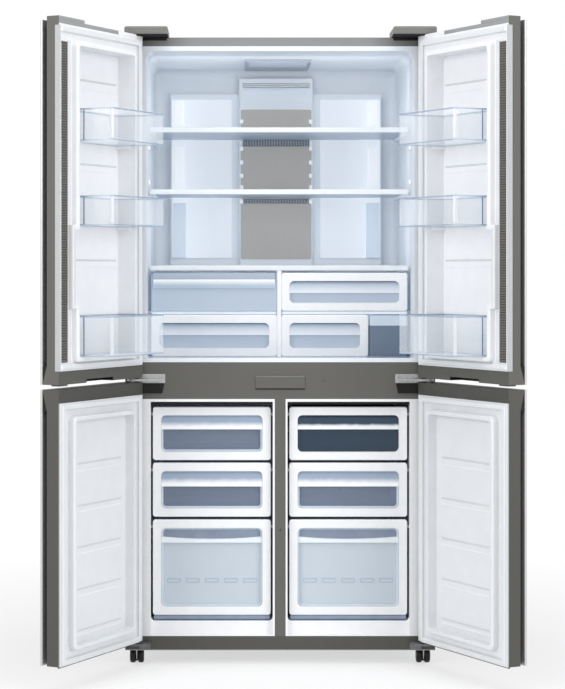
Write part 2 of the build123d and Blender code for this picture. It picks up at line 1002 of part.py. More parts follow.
def door_liner(upper):
    """The white inner side of a door: flange, ridge, recess and bin lugs."""
    x0, x1, z0, z1 = ridge_box(upper)
    low = upper_liner_bottom if upper else lower_liner_bottom
    high = upper_liner_top if upper else lower_liner_top
    body = block(free_x, liner_hinge_x, door_inner, door_inner + liner_flange, low, high)
    if upper:
        wrap_y = door_inner - wrap_depth
        body += block(free_x, free_x + wrap_wall, wrap_y, door_inner, low, high)
        edge_x = free_x + liner_edge_width
        body += block(free_x, edge_x, door_inner, door_inner + liner_edge_rise, low, high)
        lip_x = edge_x + seal_width
        lip = rounded(
            lip_x, lip_x + lip_width, door_inner, door_inner + lip_rise, z0, z1, Axis.Y, lip_round
        )
        body += lip
    body += ridge(upper)
    floor_y = door_inner - (upper_recess_depth if upper else lower_recess_depth)
    shell = block(0, half, floor_y - liner_wall, door_inner, low, high)
    body += recess(upper, liner_wall) & shell
    body -= recess(upper, 0)
    embossing_x0 = x0 + ridge_width + embossing_margin
    embossing_x1 = x1 - ridge_width - embossing_margin
    for z in upper_embossings if upper else lower_embossings:
        top = floor_y + embossing_height
        root = floor_y - overrun
        body += block(embossing_x0, embossing_x1, root, top, z, z + embossing_width)
    if upper:
        for lug in bin_lugs():
            body += lug
    return body


def door_gasket(upper):
    """The soft seal of a door, and on an upper door the ribbed strip at its free edge."""
    y0 = door_inner + liner_flange
    y1 = -gasket_clearance
    outer = liner_hinge_x - gasket_margin
    bottom = (upper_liner_bottom if upper else lower_liner_bottom) + gasket_margin
    top = (upper_liner_top if upper else lower_liner_top) - gasket_margin
    low = bottom + gasket_width
    high = top - gasket_width
    if not upper:
        x0 = free_x + gasket_margin
        ring = block(x0, outer, y0, y1, bottom, top)
        return ring - block(x0 + gasket_width, outer - gasket_width, y0, y1, low, high)
    x0 = free_x + liner_edge_width
    ring = block(x0, outer, y0, y1, bottom, top)
    ring -= block(x0, outer - gasket_width, y0, y1, low, high)
    start = upper_ridge_bottom
    end = upper_ridge_top - seal_margin
    strip = block(x0, x0 + seal_width, y0, y0 + seal_base, start, end)
    count = int((end - start) / rib_pitch)
    ribs = [
        block(
            x0,
            x0 + seal_width,
            y0,
            y0 + seal_base + rib_height,
            start + rib_pitch * row,
            start + rib_pitch * row + rib_width,
        )
        for row in range(count)
    ]
    return [ring, strip + ribs]


def bin_outline(grow):
    """A bin's plan, with its step out over the ridge beside the hinge."""
    bin_x0, bin_x1 = bin_sides()
    flare_y = door_inner + upper_ridge_rise + bin_flare_clearance
    flare_x = half - bin_flare_side
    y0 = door_inner - upper_recess_depth + bin_back_gap
    y1 = door_inner + bin_reach
    return [
        (bin_x0 + grow, y0 + grow),
        (bin_x1 - grow, y0 + grow),
        (bin_x1 - grow, flare_y + grow),
        (flare_x - grow, flare_y + grow),
        (flare_x - grow, y1 - grow),
        (bin_x0 + grow, y1 - grow),
    ]


def bin_block(grow, bottom, top):
    """A bin's outline as an upright block, rounded at its two front corners."""
    face = make_face(Polyline(*bin_outline(grow), close=True))
    body = Pos(0, 0, bottom) * extrude(face, top - bottom)
    front = body.edges().filter_by(Axis.Z).group_by(Axis.Y)[-1]
    return fillet(front, bin_corner - grow)


def door_bin(bottom, height):
    """A clear bin that rests on the lugs of an upper door's liner."""
    body = bin_block(0, bottom, bottom + height)
    return body - bin_block(bin_wall, bottom + bin_wall, bottom + height + overrun)


def top_hinge():
    """The plate on the cabinet's roof with the pin of the upper door."""
    z0 = upper_door_top + top_hinge_gap
    z1 = z0 + hinge_plate
    x1 = pivot_x + arm_boss
    x0 = x1 - top_hinge_width
    plate = block(x0, x1, top_hinge_start, top_hinge_depth, z0, z1)
    plate += block(pivot_x - arm_boss, x1, pivot_y, top_hinge_start, z0, z1)
    plate += upright(pivot_x, pivot_y, z0, z1, arm_boss)
    plate += block(x0, x1, top_hinge_start, top_hinge_depth, cabinet_top, z0)
    return plate + upright(pivot_x, pivot_y, upper_door_top - pin_length, z0, pin_radius)


def hinge_cover():
    """The plastic cover over a top hinge, open below where it overhangs the door."""
    x1 = half
    x0 = x1 - cover_width
    z1 = cabinet_top + cover_height
    z0 = upper_door_top + cover_gap
    outer = block(x0, x1, -cover_front, cover_depth, z0, z1)
    top_edges = outer.faces().sort_by(Axis.Z)[-1].edges()
    outer = fillet(top_edges + outer.edges().filter_by(Axis.Z), cover_round)
    skirt = block(x0, x1, cover_skirt_front, cover_depth, cabinet_top, z0 + cover_overlap)
    skirt = fillet(skirt.edges().filter_by(Axis.Z).group_by(Axis.Y)[-1], cover_round)
    wall = cover_wall
    room = block(
        x0 + wall, x1 - wall, wall - cover_front, cover_depth - wall, cabinet_top, z1 - wall
    )
    room = fillet(room.edges().filter_by(Axis.Z), cover_round - wall)
    return outer + skirt - room


def hinge_arm(z0, z1, plate_x0):
    """A flat arm from the cabinet's front to the hinge's pin."""
    x1 = bracket_outer
    arm = block(plate_x0, x1, pivot_y + arm_boss, 0, z0, z1)
    arm += block(x1 - arm_overlap, pivot_x, pivot_y - arm_boss, pivot_y + arm_boss, z0, z1)
    return arm + upright(pivot_x, pivot_y, z0, z1, arm_boss)


def middle_hinge():
    """The bracket on the middle rail with pins up and down, and its dark block."""
    x1 = bracket_outer
    x0 = x1 - bracket_width
    top = bracket_bottom + bracket_height
    plate = block(x0, x1, -bracket_thickness, 0, bracket_bottom, top)
    arm_z0 = (upper_door_bottom + lower_door_top - arm_thickness) / 2
    arm = hinge_arm(arm_z0, arm_z0 + arm_thickness, x1 - arm_length)
    pin_z0 = lower_door_top - pin_length
    pin = upright(pivot_x, pivot_y, pin_z0, upper_door_bottom + pin_length, pin_radius)
    web_bottom = bracket_bottom - bracket_block_height
    web = block(x0 + web_inset, x1 - web_inset, -bracket_block_depth, 0, web_bottom, bracket_bottom)
    return plate + arm + pin + web


def bottom_hinge():
    """The bracket on the bottom rail with the pin of the lower door."""
    x1 = bracket_outer
    x0 = x1 - lower_bracket_width
    top = lower_bracket_bottom + lower_bracket_height
    plate = block(x0, x1, -bracket_thickness, 0, lower_bracket_bottom, top)
    arm = hinge_arm(top - arm_thickness, top, x0)
    pin_z0 = top - pin_root
    pin = upright(pivot_x, pivot_y, pin_z0, lower_door_bottom + pin_length, pin_radius)
    return plate + arm + pin


def hinges():
    """All six hinges."""
    right = [top_hinge(), middle_hinge(), bottom_hinge()]
    return right + [other_side(piece) for piece in right]


def wheel(x0, x1, y, radius, edge):
    """A wheel that stands on the floor, with the hole for its axle."""
    body = along_x(x0, x1, y, radius, radius)
    body = fillet(body.edges(), edge)
    return body - along_x(x0, x1, y, radius, axle_radius + pin_fit)


def caster():
    """The two wheels of a front caster, one on each side of its fork."""
    near = caster_slot / 2
    far = caster_width / 2
    inner = wheel(caster_x - far, caster_x - near, caster_y, caster_radius, wheel_edge)
    outer = wheel(caster_x + near, caster_x + far, caster_y, caster_radius, wheel_edge)
    return [inner, outer]


def roller():
    """A rear roller."""
    reach = roller_width / 2
    return wheel(roller_x - reach, roller_x + reach, roller_y, roller_radius, roller_edge)


def compressor():
    """The domed compressor on its mounting plate."""
    z0 = base_top + compressor_plate
    body = upright(compressor_x, compressor_y, z0, z0 + compressor_height, compressor_radius)
    body = fillet(body.edges().group_by(Axis.Z)[-1], compressor_dome)
    reach = compressor_radius + compressor_foot
    depth_reach = reach - compressor_foot_step
    foot_plate = rounded(
        compressor_x - reach,
        compressor_x + reach,
        compressor_y - depth_reach,
        compressor_y + depth_reach,
        base_top,
        z0,
        Axis.Z,
        compressor_foot_corner,
    )
    stub_y = compressor_y - reach
    stub = along_y(compressor_x, stub_y, compressor_y, z0 + compressor_height / 2, tube_radius)
    return body + foot_plate + stub


def finned_coil(x0, length, fins, y, depth, z0, height):
    """Fins on tubes that run across, as one heat exchanger."""
    pitch = (length - fin_thickness) / (fins - 1)
    body = None
    for row in tube_shares:
        for column in tube_shares:
            tube_y = y + depth * (column - 0.5)
            tube_z = z0 + height * row
            start = x0 - tube_overrun
            tube = along_x(start, x0 + length + tube_overrun, tube_y, tube_z, tube_radius)
            body = tube if body is None else body + tube
    for number in range(fins):
        x = x0 + pitch * number
        body += block(x, x + fin_thickness, y - depth / 2, y + depth / 2, z0, z0 + height)
    return body


def condenser():
    """The condenser coil that stands on the floor plate."""
    return finned_coil(
        condenser_left,
        condenser_length,
        condenser_fins,
        condenser_y,
        condenser_depth,
        base_top,
        condenser_height,
    )


def evaporator():
    """The evaporator coil in the chamber behind the freezer bays."""
    return finned_coil(
        -evaporator_length / 2,
        evaporator_length,
        evaporator_fins,
        chamber_back - evaporator_depth / 2,
        evaporator_depth,
        step_top,
        evaporator_height,
    )


def fan_motor():
    """The fan's motor on the chamber's back wall, with its shaft."""
    front = chamber_back - fan_motor_length
    body = along_y(0, front, chamber_back, fan_height, fan_motor_radius)
    tip = front - fan_back_gap - fan_hub_length
    return body + along_y(0, tip, front, fan_height, fan_shaft_radius)


def freezer_fan():
    """The fan that turns on the motor's shaft."""
    y1 = chamber_back - fan_motor_length - fan_back_gap
    y0 = y1 - fan_hub_length
    hub = along_y(0, y0, y1, fan_height, fan_hub_radius)
    middle = (y0 + y1) / 2
    reach = fan_radius - fan_hub_radius + fan_blade_root
    for number in range(fan_blades):
        angle = 360.0 * number / fan_blades
        blade = Box(fan_blade_chord, fan_blade_thickness, reach)
        blade = Pos(0, 0, fan_radius - reach / 2) * Rot(0, 0, fan_pitch) * blade
        hub += Pos(0, middle, fan_height) * Rot(0, angle, 0) * blade
    return hub - along_y(0, y0, y1, fan_height, fan_shaft_radius + pin_clearance)


def freezer_back_cover():
    """The plate between the freezer bays and the evaporator, with its air openings."""
    y0 = bay_back
    y1 = y0 + back_cover_thickness
    wide = freezer_half_width
    plate = block(-wide, wide, y0, y1, step_top, freezer_ceiling)
    plate -= along_y(0, y0, y1, fan_height, fan_opening)
    for side in (-1, 1):
        for row in range(cover_slots):
            z = step_top + cover_slot_start + row * cover_slot_pitch
            x = side * wide / 2
            reach = cover_slot_length / 2
            plate -= block(x - reach, x + reach, y0, y1, z, z + cover_slot_height)
    return plate


def export(name, shape):
    """Move a piece into the part's frame and write it as one named node."""
    pieces = shape if isinstance(shape, list) else [shape]
    solids = [solid for piece in pieces for solid in piece.solids()]
    moved = [Pos(0, front_y, 0) * solid for solid in solids]
    node = Compound(children=moved) if len(moved) > 1 else moved[0]
    export_step(node, os.path.join("parts", name + ".step"))


def both_sides(name, shape, place=None):
    """Write the right and left copies of a piece, swung open where it is on a door."""
    pieces = shape if isinstance(shape, list) else [shape]
    if place:
        pieces = [place(piece) for piece in pieces]
    export("right_" + name, pieces)
    export("left_" + name, [other_side(piece) for piece in pieces])


def write_cabinet():
    export("cabinet_shell", cabinet_shell())
    export("back_panel", back_panel())
    export("machine_cover", machine_cover())
    export("base_pan", base_pan())
    export("insulation", insulation())
    export("fridge_liner", fridge_liner())
    export("freezer_liner", freezer_liner())
    export("front_rails", front_rails() + [rail_plate()])
    export("hinges", hinges())
    export("hinge_covers", [hinge_cover(), other_side(hinge_cover())])
    export("air_ducts", air_ducts())
    export("cooling_plates", cooling_plates())
    export("light_covers", light_covers())
    export("drawer_shelf", drawer_shelf())
    export("drawer_divider", drawer_divider())
    export("freezer_back_cover", freezer_back_cover())
    export("compressor", compressor())
    export("condenser", condenser())
    export("evaporator", evaporator())
    export("fan_motor", fan_motor())
    export("freezer_fan", freezer_fan())


def write_moving_parts():
    both_sides("caster", caster())
    both_sides("roller", roller())
    for name, top in zip(("upper_shelf", "lower_shelf"), shelf_tops):
        export(name, glass_shelf(top))
    for name, level in zip(("top", "middle", "bottom"), drawer_levels):
        both_sides(name + "_freezer_drawer", freezer_drawer(level))
    inner = divider_width / 2
    outer = crisper_outer
    low = (fridge_floor + seat_gap, lower_crisper_top)
    high = (upper_crisper_bottom, upper_crisper_top)
    export("upper_right_fridge_drawer", fridge_drawer(inner, outer, *high, True))
    export("upper_left_fridge_case", fridge_drawer(-outer, -inner, *high, False))
    export("lower_left_fridge_drawer", fridge_drawer(-outer, -inner, *low, True))
    tank_side = outer - tank_width - tank_gap
    export("lower_right_fridge_drawer", fridge_drawer(inner, tank_side, *low, True))
    export("water_tank", water_tank())


def write_doors():
    uppers = (upper_door_bottom, upper_door_top)
    lowers = (lower_door_bottom, lower_door_top)
    both_sides("upper_door_panel", door_panel(*uppers), swung)
    both_sides("lower_door_panel", door_panel(*lowers), swung)
    both_sides("upper_door_body", door_body(*uppers, True), swung)
    both_sides("lower_door_body", door_body(*lowers, False), swung)
    both_sides("upper_door_liner", door_liner(True), swung)
    both_sides("lower_door_liner", door_liner(False), swung)
    both_sides("upper_door_gasket", door_gasket(True), swung)
    both_sides("lower_door_gasket", door_gasket(False), swung)
    names = ("top_door_bin", "middle_door_bin", "bottom_door_bin")
    for name, bottom, height in zip(names, bin_bottoms, bin_heights):
        both_sides(name, door_bin(bottom, height), swung)


os.makedirs("parts", exist_ok=True)
write_cabinet()
write_moving_parts()
write_doors()
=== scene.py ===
import json
import math

import bmesh
import bpy
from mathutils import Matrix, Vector

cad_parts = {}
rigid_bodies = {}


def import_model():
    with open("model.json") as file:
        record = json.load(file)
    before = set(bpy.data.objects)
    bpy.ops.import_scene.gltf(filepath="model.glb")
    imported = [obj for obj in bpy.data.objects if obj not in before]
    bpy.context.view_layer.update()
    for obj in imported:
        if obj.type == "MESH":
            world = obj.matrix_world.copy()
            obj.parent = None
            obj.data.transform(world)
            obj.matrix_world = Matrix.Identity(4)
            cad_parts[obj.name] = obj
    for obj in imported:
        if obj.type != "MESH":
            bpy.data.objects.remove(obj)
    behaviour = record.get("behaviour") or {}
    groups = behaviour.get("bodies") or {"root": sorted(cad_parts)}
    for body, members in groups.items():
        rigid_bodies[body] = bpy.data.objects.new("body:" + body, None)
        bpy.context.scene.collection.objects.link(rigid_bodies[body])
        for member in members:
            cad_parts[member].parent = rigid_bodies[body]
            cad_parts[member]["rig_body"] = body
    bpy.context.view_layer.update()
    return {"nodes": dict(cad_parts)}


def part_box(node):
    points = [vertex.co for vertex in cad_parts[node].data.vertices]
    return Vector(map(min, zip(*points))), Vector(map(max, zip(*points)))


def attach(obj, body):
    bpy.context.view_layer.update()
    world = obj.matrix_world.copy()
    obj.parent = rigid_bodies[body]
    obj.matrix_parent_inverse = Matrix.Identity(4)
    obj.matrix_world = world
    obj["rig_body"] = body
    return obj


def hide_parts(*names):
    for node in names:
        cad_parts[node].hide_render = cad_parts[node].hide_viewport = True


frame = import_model()
nodes = frame["nodes"]
MM = 0.001

# The photograph's frame and the camera that was fitted to its edges
photo_width = 565
photo_height = 689
principal_x = 233.1
principal_y = 270.0
focal_pixels = 2013.5
camera_x = -0.1355
camera_y = -5.93385
camera_z = 1.13425

# The two halves of the refrigerator and the sign of X on each
side_signs = {"right": 1, "left": -1}

# Where the cabinet's front plane lies, and which way each door is turned when open
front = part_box("front_rails")[1].y - 0.012
door_angle = math.radians(117.7)
pivot_x = 0.424
pivot_y = -0.033


def linear(code):
    """An sRGB hex colour as the linear colour that a shader takes."""
    values = [int(code[i : i + 2], 16) / 255 for i in (1, 3, 5)]
    parts = [v / 12.92 if v <= 0.04045 else ((v + 0.055) / 1.055) ** 2.4 for v in values]
    return (*parts, 1.0)


def add(tree, kind, settings=None, links=None):
    """One node with its settings and the sockets that feed it."""
    node = tree.nodes.new("ShaderNode" + kind)
    for name, value in (settings or {}).items():
        if isinstance(name, str) and hasattr(node, name):
            setattr(node, name, value)
        else:
            node.inputs[name].default_value = value
    for name, source in (links or {}).items():
        tree.links.new(source, node.inputs[name])
    return node


def blank(name):
    """A material with nothing in it but its output."""
    material = bpy.data.materials.new(name)
    material.use_nodes = True
    tree = material.node_tree
    tree.nodes.clear()
    return material, tree, add(tree, "OutputMaterial")


def place(tree, stretch=(1, 1, 1)):
    """Object coordinates in millimetres, stretched along the grain where there is one."""
    coordinates = add(tree, "TexCoord")
    scale = [1000 / s for s in stretch]
    mapping = add(tree, "Mapping", {"Scale": scale}, {"Vector": coordinates.outputs["Object"]})
    return mapping.outputs["Vector"]


def relief_on(tree, vector, size, detail, strength):
    """A pattern of a real size in mm, and the normals of the relief that it raises."""
    pattern = add(tree, "TexNoise", {"Scale": 1 / size, "Detail": detail}, {"Vector": vector})
    height = {"Height": pattern.outputs["Fac"]}
    bump = add(tree, "Bump", {"Strength": strength, "Distance": 0.0005}, height)
    return pattern.outputs["Fac"], bump.outputs["Normal"]


def share_outwards(tree, vector, start, end, low=0.0, high=1.0):
    """A smooth rise between two distances from the middle of the refrigerator, in mm."""
    across = add(tree, "SeparateXYZ", links={"Vector": vector})
    outwards = add(tree, "Math", {"operation": "ABSOLUTE"}, {0: across.outputs["X"]})
    steps = {"From Min": start, "From Max": end, "To Min": low, "To Max": high}
    steps["interpolation_type"] = "SMOOTHSTEP"
    return add(tree, "MapRange", steps, {"Value": outwards.outputs[0]}).outputs["Result"]


def surface(name, colour, dark, size, roughness, spread, relief, finish=None, stretch=(1, 1, 1)):
    """A finish whose colour, gloss and relief vary over a pattern of a real size in mm."""
    material, tree, output = blank(name)
    vector = place(tree, stretch)
    grain, normal = relief_on(tree, vector, size, 3.0, relief)
    broad = add(tree, "TexNoise", {"Scale": 1 / 260.0, "Detail": 2.0}, {"Vector": vector})
    both = add(tree, "Math", {"operation": "MULTIPLY_ADD", 1: 0.5, 2: -0.25}, {0: broad.outputs["Fac"]})
    mixed = add(tree, "Math", {"operation": "ADD"}, {0: both.outputs[0], 1: grain})
    tone = add(tree, "MapRange", {"From Min": 0.3, "From Max": 0.7}, {"Value": mixed.outputs[0]})
    ramp = add(tree, "ValToRGB", links={"Fac": tone.outputs["Result"]})
    ramp.color_ramp.elements[0].color = linear(dark)
    ramp.color_ramp.elements[1].color = linear(colour)
    gloss = add(
        tree, "MapRange", {"To Min": roughness - spread, "To Max": roughness + spread}, {"Value": grain}
    )
    shader = add(
        tree, "BsdfPrincipled", finish,
        {"Base Color": ramp.outputs["Color"], "Roughness": gloss.outputs["Result"], "Normal": normal},
    )
    tree.links.new(shader.outputs["BSDF"], output.inputs["Surface"])
    return material


def shaded_outwards(material, tint, start, end):
    """Mixes a darker colour into a finish towards the piece's two ends, in mm from the middle."""
    tree = material.node_tree
    shader = next(node for node in tree.nodes if node.type == "BSDF_PRINCIPLED")
    source = shader.inputs["Base Color"].links[0].from_socket
    share = share_outwards(tree, place(tree), start, end)
    mixed = add(tree, "MixRGB", {"Color2": linear(tint)}, {"Fac": share, "Color1": source})
    tree.links.new(mixed.outputs["Color"], shader.inputs["Base Color"])


def thin_clear(name, tint, facing, edge, roughness, size, relief, glow=0.0):
    """A thin see-through wall: it lets sight and lamps through, and closes towards its edges; where
    glow is given, the wall gives off a painted glow though it is no lamp.
    """
    material, tree, output = blank(name)
    normal = relief_on(tree, place(tree), size, 1.0, relief)[1]
    rim = add(tree, "LayerWeight", {"Blend": 0.3})
    cover = add(tree, "MapRange", {"To Min": facing, "To Max": edge}, {"Value": rim.outputs["Facing"]})
    shader = add(
        tree, "BsdfPrincipled",
        {
            "Base Color": linear(tint), "Roughness": roughness, "IOR": 1.55,
            "Emission Color": linear(tint), "Emission Strength": glow,
        },
        {"Normal": normal, "Alpha": cover.outputs["Result"]},
    )
    tree.links.new(shader.outputs["BSDF"], output.inputs["Surface"])
    return material


# Baked enamel mirrors a little less than a plain plastic
enamelled = {"Specular IOR Level": 0.4}
# Enamelled steel, sprayed and baked: an even satin grey with a fine orange peel about 2 mm across
grey_enamel = surface("enamelled_steel_grey", "#5b5a55", "#575652", 2.0, 0.46, 0.04, 0.12, enamelled)
# A darker copy of the enamel, painted shade: the lower doors' frames stand further from the lamps'
# light and are the darker of the four; the bottom rail takes it too
shaded_enamel = surface(
    "enamelled_steel_lower_doors", "#4d4c48", "#494844", 2.0, 0.46, 0.04, 0.12, enamelled
)
# The same enamel on the rails between the compartments, a shade paler
rail_enamel = surface("enamelled_steel_rails", "#5f5e5a", "#5b5a56", 2.0, 0.44, 0.04, 0.12, enamelled)
# The top rail's enamel, a cooler and paler copy with the light that it catches painted in
lit_rail_enamel = surface(
    "enamelled_steel_top_rail_painted_light", "#8b8e8f", "#838586", 2.0, 0.42, 0.04, 0.1, enamelled
)
# Darker towards the rail's ends, under the hinge covers: painted shade
shaded_outwards(lit_rail_enamel, "#5f605e", 240.0, 400.0)
# The enamel along the tops of the upper doors, a pale grey
pale_enamel = surface("enamelled_steel_pale", "#999c9d", "#949798", 2.0, 0.42, 0.04, 0.1, enamelled)
# Silver coated steel sheet of the doors' outer faces, with metal flakes about 1 mm across
silver_coat = surface(
    "coated_steel_silver", "#c6c7c6", "#bcbdbc", 1.0, 0.34, 0.05, 0.06, {"Metallic": 0.55}
)
# High-impact polystyrene, vacuum formed over a mould: glossy white, waves about 40 mm long
formed_white = surface("vacuum_formed_polystyrene", "#f0f1f3", "#ecedf0", 40.0, 0.34, 0.03, 0.03)
# The lower doors' liners, in a darker copy of the sheet: painted shade, as they stand further from the
# lamps' light
shaded_formed_white = surface("vacuum_formed_polystyrene_lower", "#e4e6e8", "#e0e2e5", 40.0, 0.34, 0.03, 0.03)
# The same sheet inside the fridge, where the cold light gives it a blue cast
formed_blue = surface("vacuum_formed_polystyrene_lit", "#e6ebf1", "#e3e9ef", 40.0, 0.34, 0.03, 0.03)
# The liner's return along a door's free edge, the same sheet in a greyer copy as painted shade, with a
# matt face
shaded_edge_sheet = surface("liner_edge_painted_shade", "#b3b5b7", "#afb1b3", 12.0, 0.5, 0.03, 0.05)
# Injection-moulded white ABS of drawer fronts and trims: smooth, with a soft gloss
moulded_white = surface("moulded_white_abs", "#eeeff1", "#eaecee", 30.0, 0.32, 0.03, 0.02)
# The shelves' trims, of the same plastic in a slightly bluer white
trim_white = surface("moulded_trim_abs", "#e2e6ea", "#dee2e7", 30.0, 0.32, 0.03, 0.02)
# Moulded polystyrene of the ducts: white with a light spark-eroded texture 1.5 mm across
duct_plastic = surface("moulded_duct_polystyrene", "#eff4f9", "#eaf0f6", 1.5, 0.4, 0.05, 0.2)
# The same plastic on the ceiling vent, in a greyer shade
vent_plastic = surface("moulded_vent_polystyrene", "#9ea7b3", "#99a2af", 1.5, 0.45, 0.05, 0.2)
# Anodised aluminium cooling plates: a matt grey with faint upright rolling marks 1 mm apart
brushed_plate = surface(
    "anodised_aluminium_plate", "#cac5bf", "#c4bfb9", 1.0, 0.55, 0.04, 0.05, {"Metallic": 0.35},
    (1, 1, 60),
)
# Zinc-plated pressed steel of the hinges: bright with cloudy patches about 6 mm across
zinc_steel = surface(
    "zinc_plated_steel", "#bcbdbc", "#a3a4a3", 6.0, 0.38, 0.08, 0.1, {"Metallic": 0.75}
)
# A darker copy of the zinc-plated steel, on the bottom hinges
darker_zinc = surface("darker_zinc_steel", "#7d7e7d", "#626362", 6.0, 0.45, 0.08, 0.15, {"Metallic": 0.7})
# Galvanised sheet: spangles about 14 mm across
galvanised = surface("galvanised_sheet", "#a9acae", "#96999b", 14.0, 0.4, 0.1, 0.05, {"Metallic": 0.8})
# Moulded grey ABS of the hinge covers and door frames: a fine leather-like texture 1.2 mm across
grey_abs = surface("moulded_grey_abs", "#757572", "#6e6e6b", 1.2, 0.45, 0.05, 0.25)
# Black powder coat in the grip grooves, and the same black as painted shade on the hinges and in the
# shadows under covers, plates and doors: deep, with grains 1 mm across
black_coat_and_shade = surface(
    "black_powder_coat_and_painted_shade", "#1b1b1b", "#121212", 1.0, 0.62, 0.06, 0.3, {"Specular IOR Level": 0.25}
)
# Black nylon of the wheels, moulded: a dull sheen with scuffs about 3 mm across
black_nylon = surface(
    "moulded_black_nylon", "#0d0d0d", "#070707", 3.0, 0.46, 0.12, 0.2, {"Specular IOR Level": 0.3}
)
# Soft PVC of the magnetic seal, extruded: matt pale grey with drawn streaks
soft_seal = surface("extruded_soft_pvc", "#e4e6e8", "#dcdfe1", 3.0, 0.55, 0.05, 0.15)
# Dark PVC of the ribbed strip at the doors' free edges
dark_seal = surface("extruded_dark_pvc", "#6f6d67", "#666460", 3.0, 0.5, 0.05, 0.15)
# Its valleys, painted darker as painted shade in the creases between the ribs
seal_valley_shade = surface("extruded_dark_pvc_valley_painted_shade", "#3b3a37", "#333230", 3.0, 0.6, 0.05, 0.15)
# Rigid polyurethane foam, blown in place: pale yellow cells about 1.5 mm across
foam = surface("blown_polyurethane_foam", "#e6d7a8", "#d6c48e", 1.5, 0.8, 0.1, 0.6, {"IOR": 1.45})
# Black enamel on the compressor's shell: glossy with a slight orange peel 3 mm across
shell_enamel = surface("black_enamelled_shell", "#202124", "#17181a", 3.0, 0.28, 0.05, 0.15)
# Plain rolled aluminium of fins and tubes
fin_metal = surface(
    "rolled_aluminium_fins", "#c2c4c6", "#aeb0b2", 2.0, 0.32, 0.08, 0.1, {"Metallic": 0.9}
)
# Crystal polystyrene of the door bins, injection moulded: nearly clear, pale blue at its edges, with a
# faint painted glow
crystal = thin_clear("crystal_polystyrene", "#dfe5ec", 0.1, 0.42, 0.08, 60.0, 0.03, 0.17)
# The bins' rims and feet, where the same plastic is seen along its wall and looks blue-grey; the same
# colour is painted shade on the strips of floor and sill before the drawers
crystal_rim_and_shade = surface(
    "crystal_polystyrene_edge", "#a6b6ca", "#98aabf", 20.0, 0.2, 0.03, 0.03, {"IOR": 1.55}
)
# The same plastic at the bins' outer ends, where the deepest part of the wall lies along the view
crystal_end = surface(
    "crystal_polystyrene_deep_edge", "#8295ae", "#778aa4", 20.0, 0.2, 0.03, 0.03, {"IOR": 1.55}
)
# The bins' rounded outer corners, a milky band as a painted highlight where they catch the lamps
crystal_corner_highlight = thin_clear("crystal_polystyrene_corner", "#eef1f5", 0.5, 0.8, 0.12, 60.0, 0.03)
# Frosted polystyrene of the shallow freezer drawers, seen against the dark bay, with a very faint
# painted glow
smoked_basket = thin_clear("frosted_polystyrene_grey", "#96a4bd", 0.36, 0.85, 0.3, 25.0, 0.05, 0.03)
# Frosted polystyrene of the deep freezer drawers, whose thick front spreads the light
milky_basket = thin_clear("frosted_polystyrene_milky", "#dbe6f0", 0.66, 0.9, 0.3, 25.0, 0.05)
# Frosted polystyrene of the fridge's drawers and its open case, with a faint painted glow
blue_basket = thin_clear("frosted_polystyrene_blue", "#c2cedc", 0.5, 0.85, 0.2, 40.0, 0.04, 0.17)
# Tempered float glass of the shelves, with a frosted underside: seen nearly edge-on it is grey-blue
float_glass = thin_clear("tempered_float_glass", "#a9b9ca", 0.12, 1.0, 0.34, 200.0, 0.02)
# Dark blue tinted SAN of the water tank
tinted_tank = thin_clear("tinted_blue_san", "#8293aa", 0.55, 0.9, 0.1, 60.0, 0.05)
# Blue tinted crystal polystyrene of the top right freezer drawer, dark against the shaded bay
tinted_crystal = thin_clear("tinted_crystal_polystyrene", "#2f475c", 0.6, 0.9, 0.1, 60.0, 0.03)
# Satin polystyrene of the deep drawers' lips: white and smooth
satin_lip = surface("satin_polystyrene", "#e6ebf0", "#e0e6ec", 20.0, 0.3, 0.03, 0.02)


def graded(name, low, high, start, end, roughness):
    """A moulded lip whose colour runs up its height from one tint to another, the white one a painted
    highlight.
    """
    material, tree, output = blank(name)
    place_in_lip = add(tree, "TexCoord")
    height = add(tree, "SeparateXYZ", links={"Vector": place_in_lip.outputs["Generated"]})
    ripple, normal = relief_on(tree, place(tree), 18.0, 2.0, 0.03)
    wander = add(tree, "Math", {"operation": "MULTIPLY_ADD", 1: 0.12, 2: -0.06}, {0: ripple})
    level = add(tree, "Math", {"operation": "ADD"}, {0: height.outputs["Z"], 1: wander.outputs[0]})
    ramp = add(tree, "ValToRGB", links={"Fac": level.outputs[0]})
    ramp.color_ramp.elements[0].color = linear(low)
    ramp.color_ramp.elements[0].position = start
    ramp.color_ramp.elements[1].color = linear(high)
    ramp.color_ramp.elements[1].position = end
    shader = add(
        tree, "BsdfPrincipled", {"Roughness": roughness, "IOR": 1.5},
        {"Base Color": ramp.outputs["Color"], "Normal": normal},
    )
    tree.links.new(shader.outputs["BSDF"], output.inputs["Surface"])
    return material


# Rolled grips of the shallow drawers: white at the lip as a painted highlight, blue-grey where they run
# up and back
rolled_grip = graded("satin_polystyrene_grip", "#f5f7f9", "#98a7bb", 0.2, 0.55, 0.3)
# The same roll and painted highlight on the blue-black drawer
dark_grip = graded("satin_polystyrene_dark_grip", "#eff2f6", "#273b4e", 0.22, 0.42, 0.3)
# The fridge drawers' grips, whose painted highlight fades into the tint more slowly
pale_grip = graded("satin_polystyrene_pale_grip", "#e3e8ee", "#9dadc1", 0.0, 0.95, 0.3)
# The open case's lip, white along its top as a painted highlight and clearer below
case_grip = graded("satin_polystyrene_case_lip", "#b0bfcf", "#eef1f4", 0.3, 0.95, 0.3)
# Frosted polystyrene in a shaded tone, painted shade: above a deep drawer's lip, where the drawer's
# inside is in shade, and in the shadow under the drawers
shaded_wall = surface("frosted_polystyrene_shaded", "#8894a8", "#7e8a9f", 40.0, 0.35, 0.03, 0.04)
# The open case's clear wall above its lip, with a painted glow that stands for the pale, lit inside of
# the case behind it
pale_case = thin_clear("frosted_polystyrene_case", "#b0bccb", 0.72, 0.9, 0.2, 40.0, 0.04, 0.1)
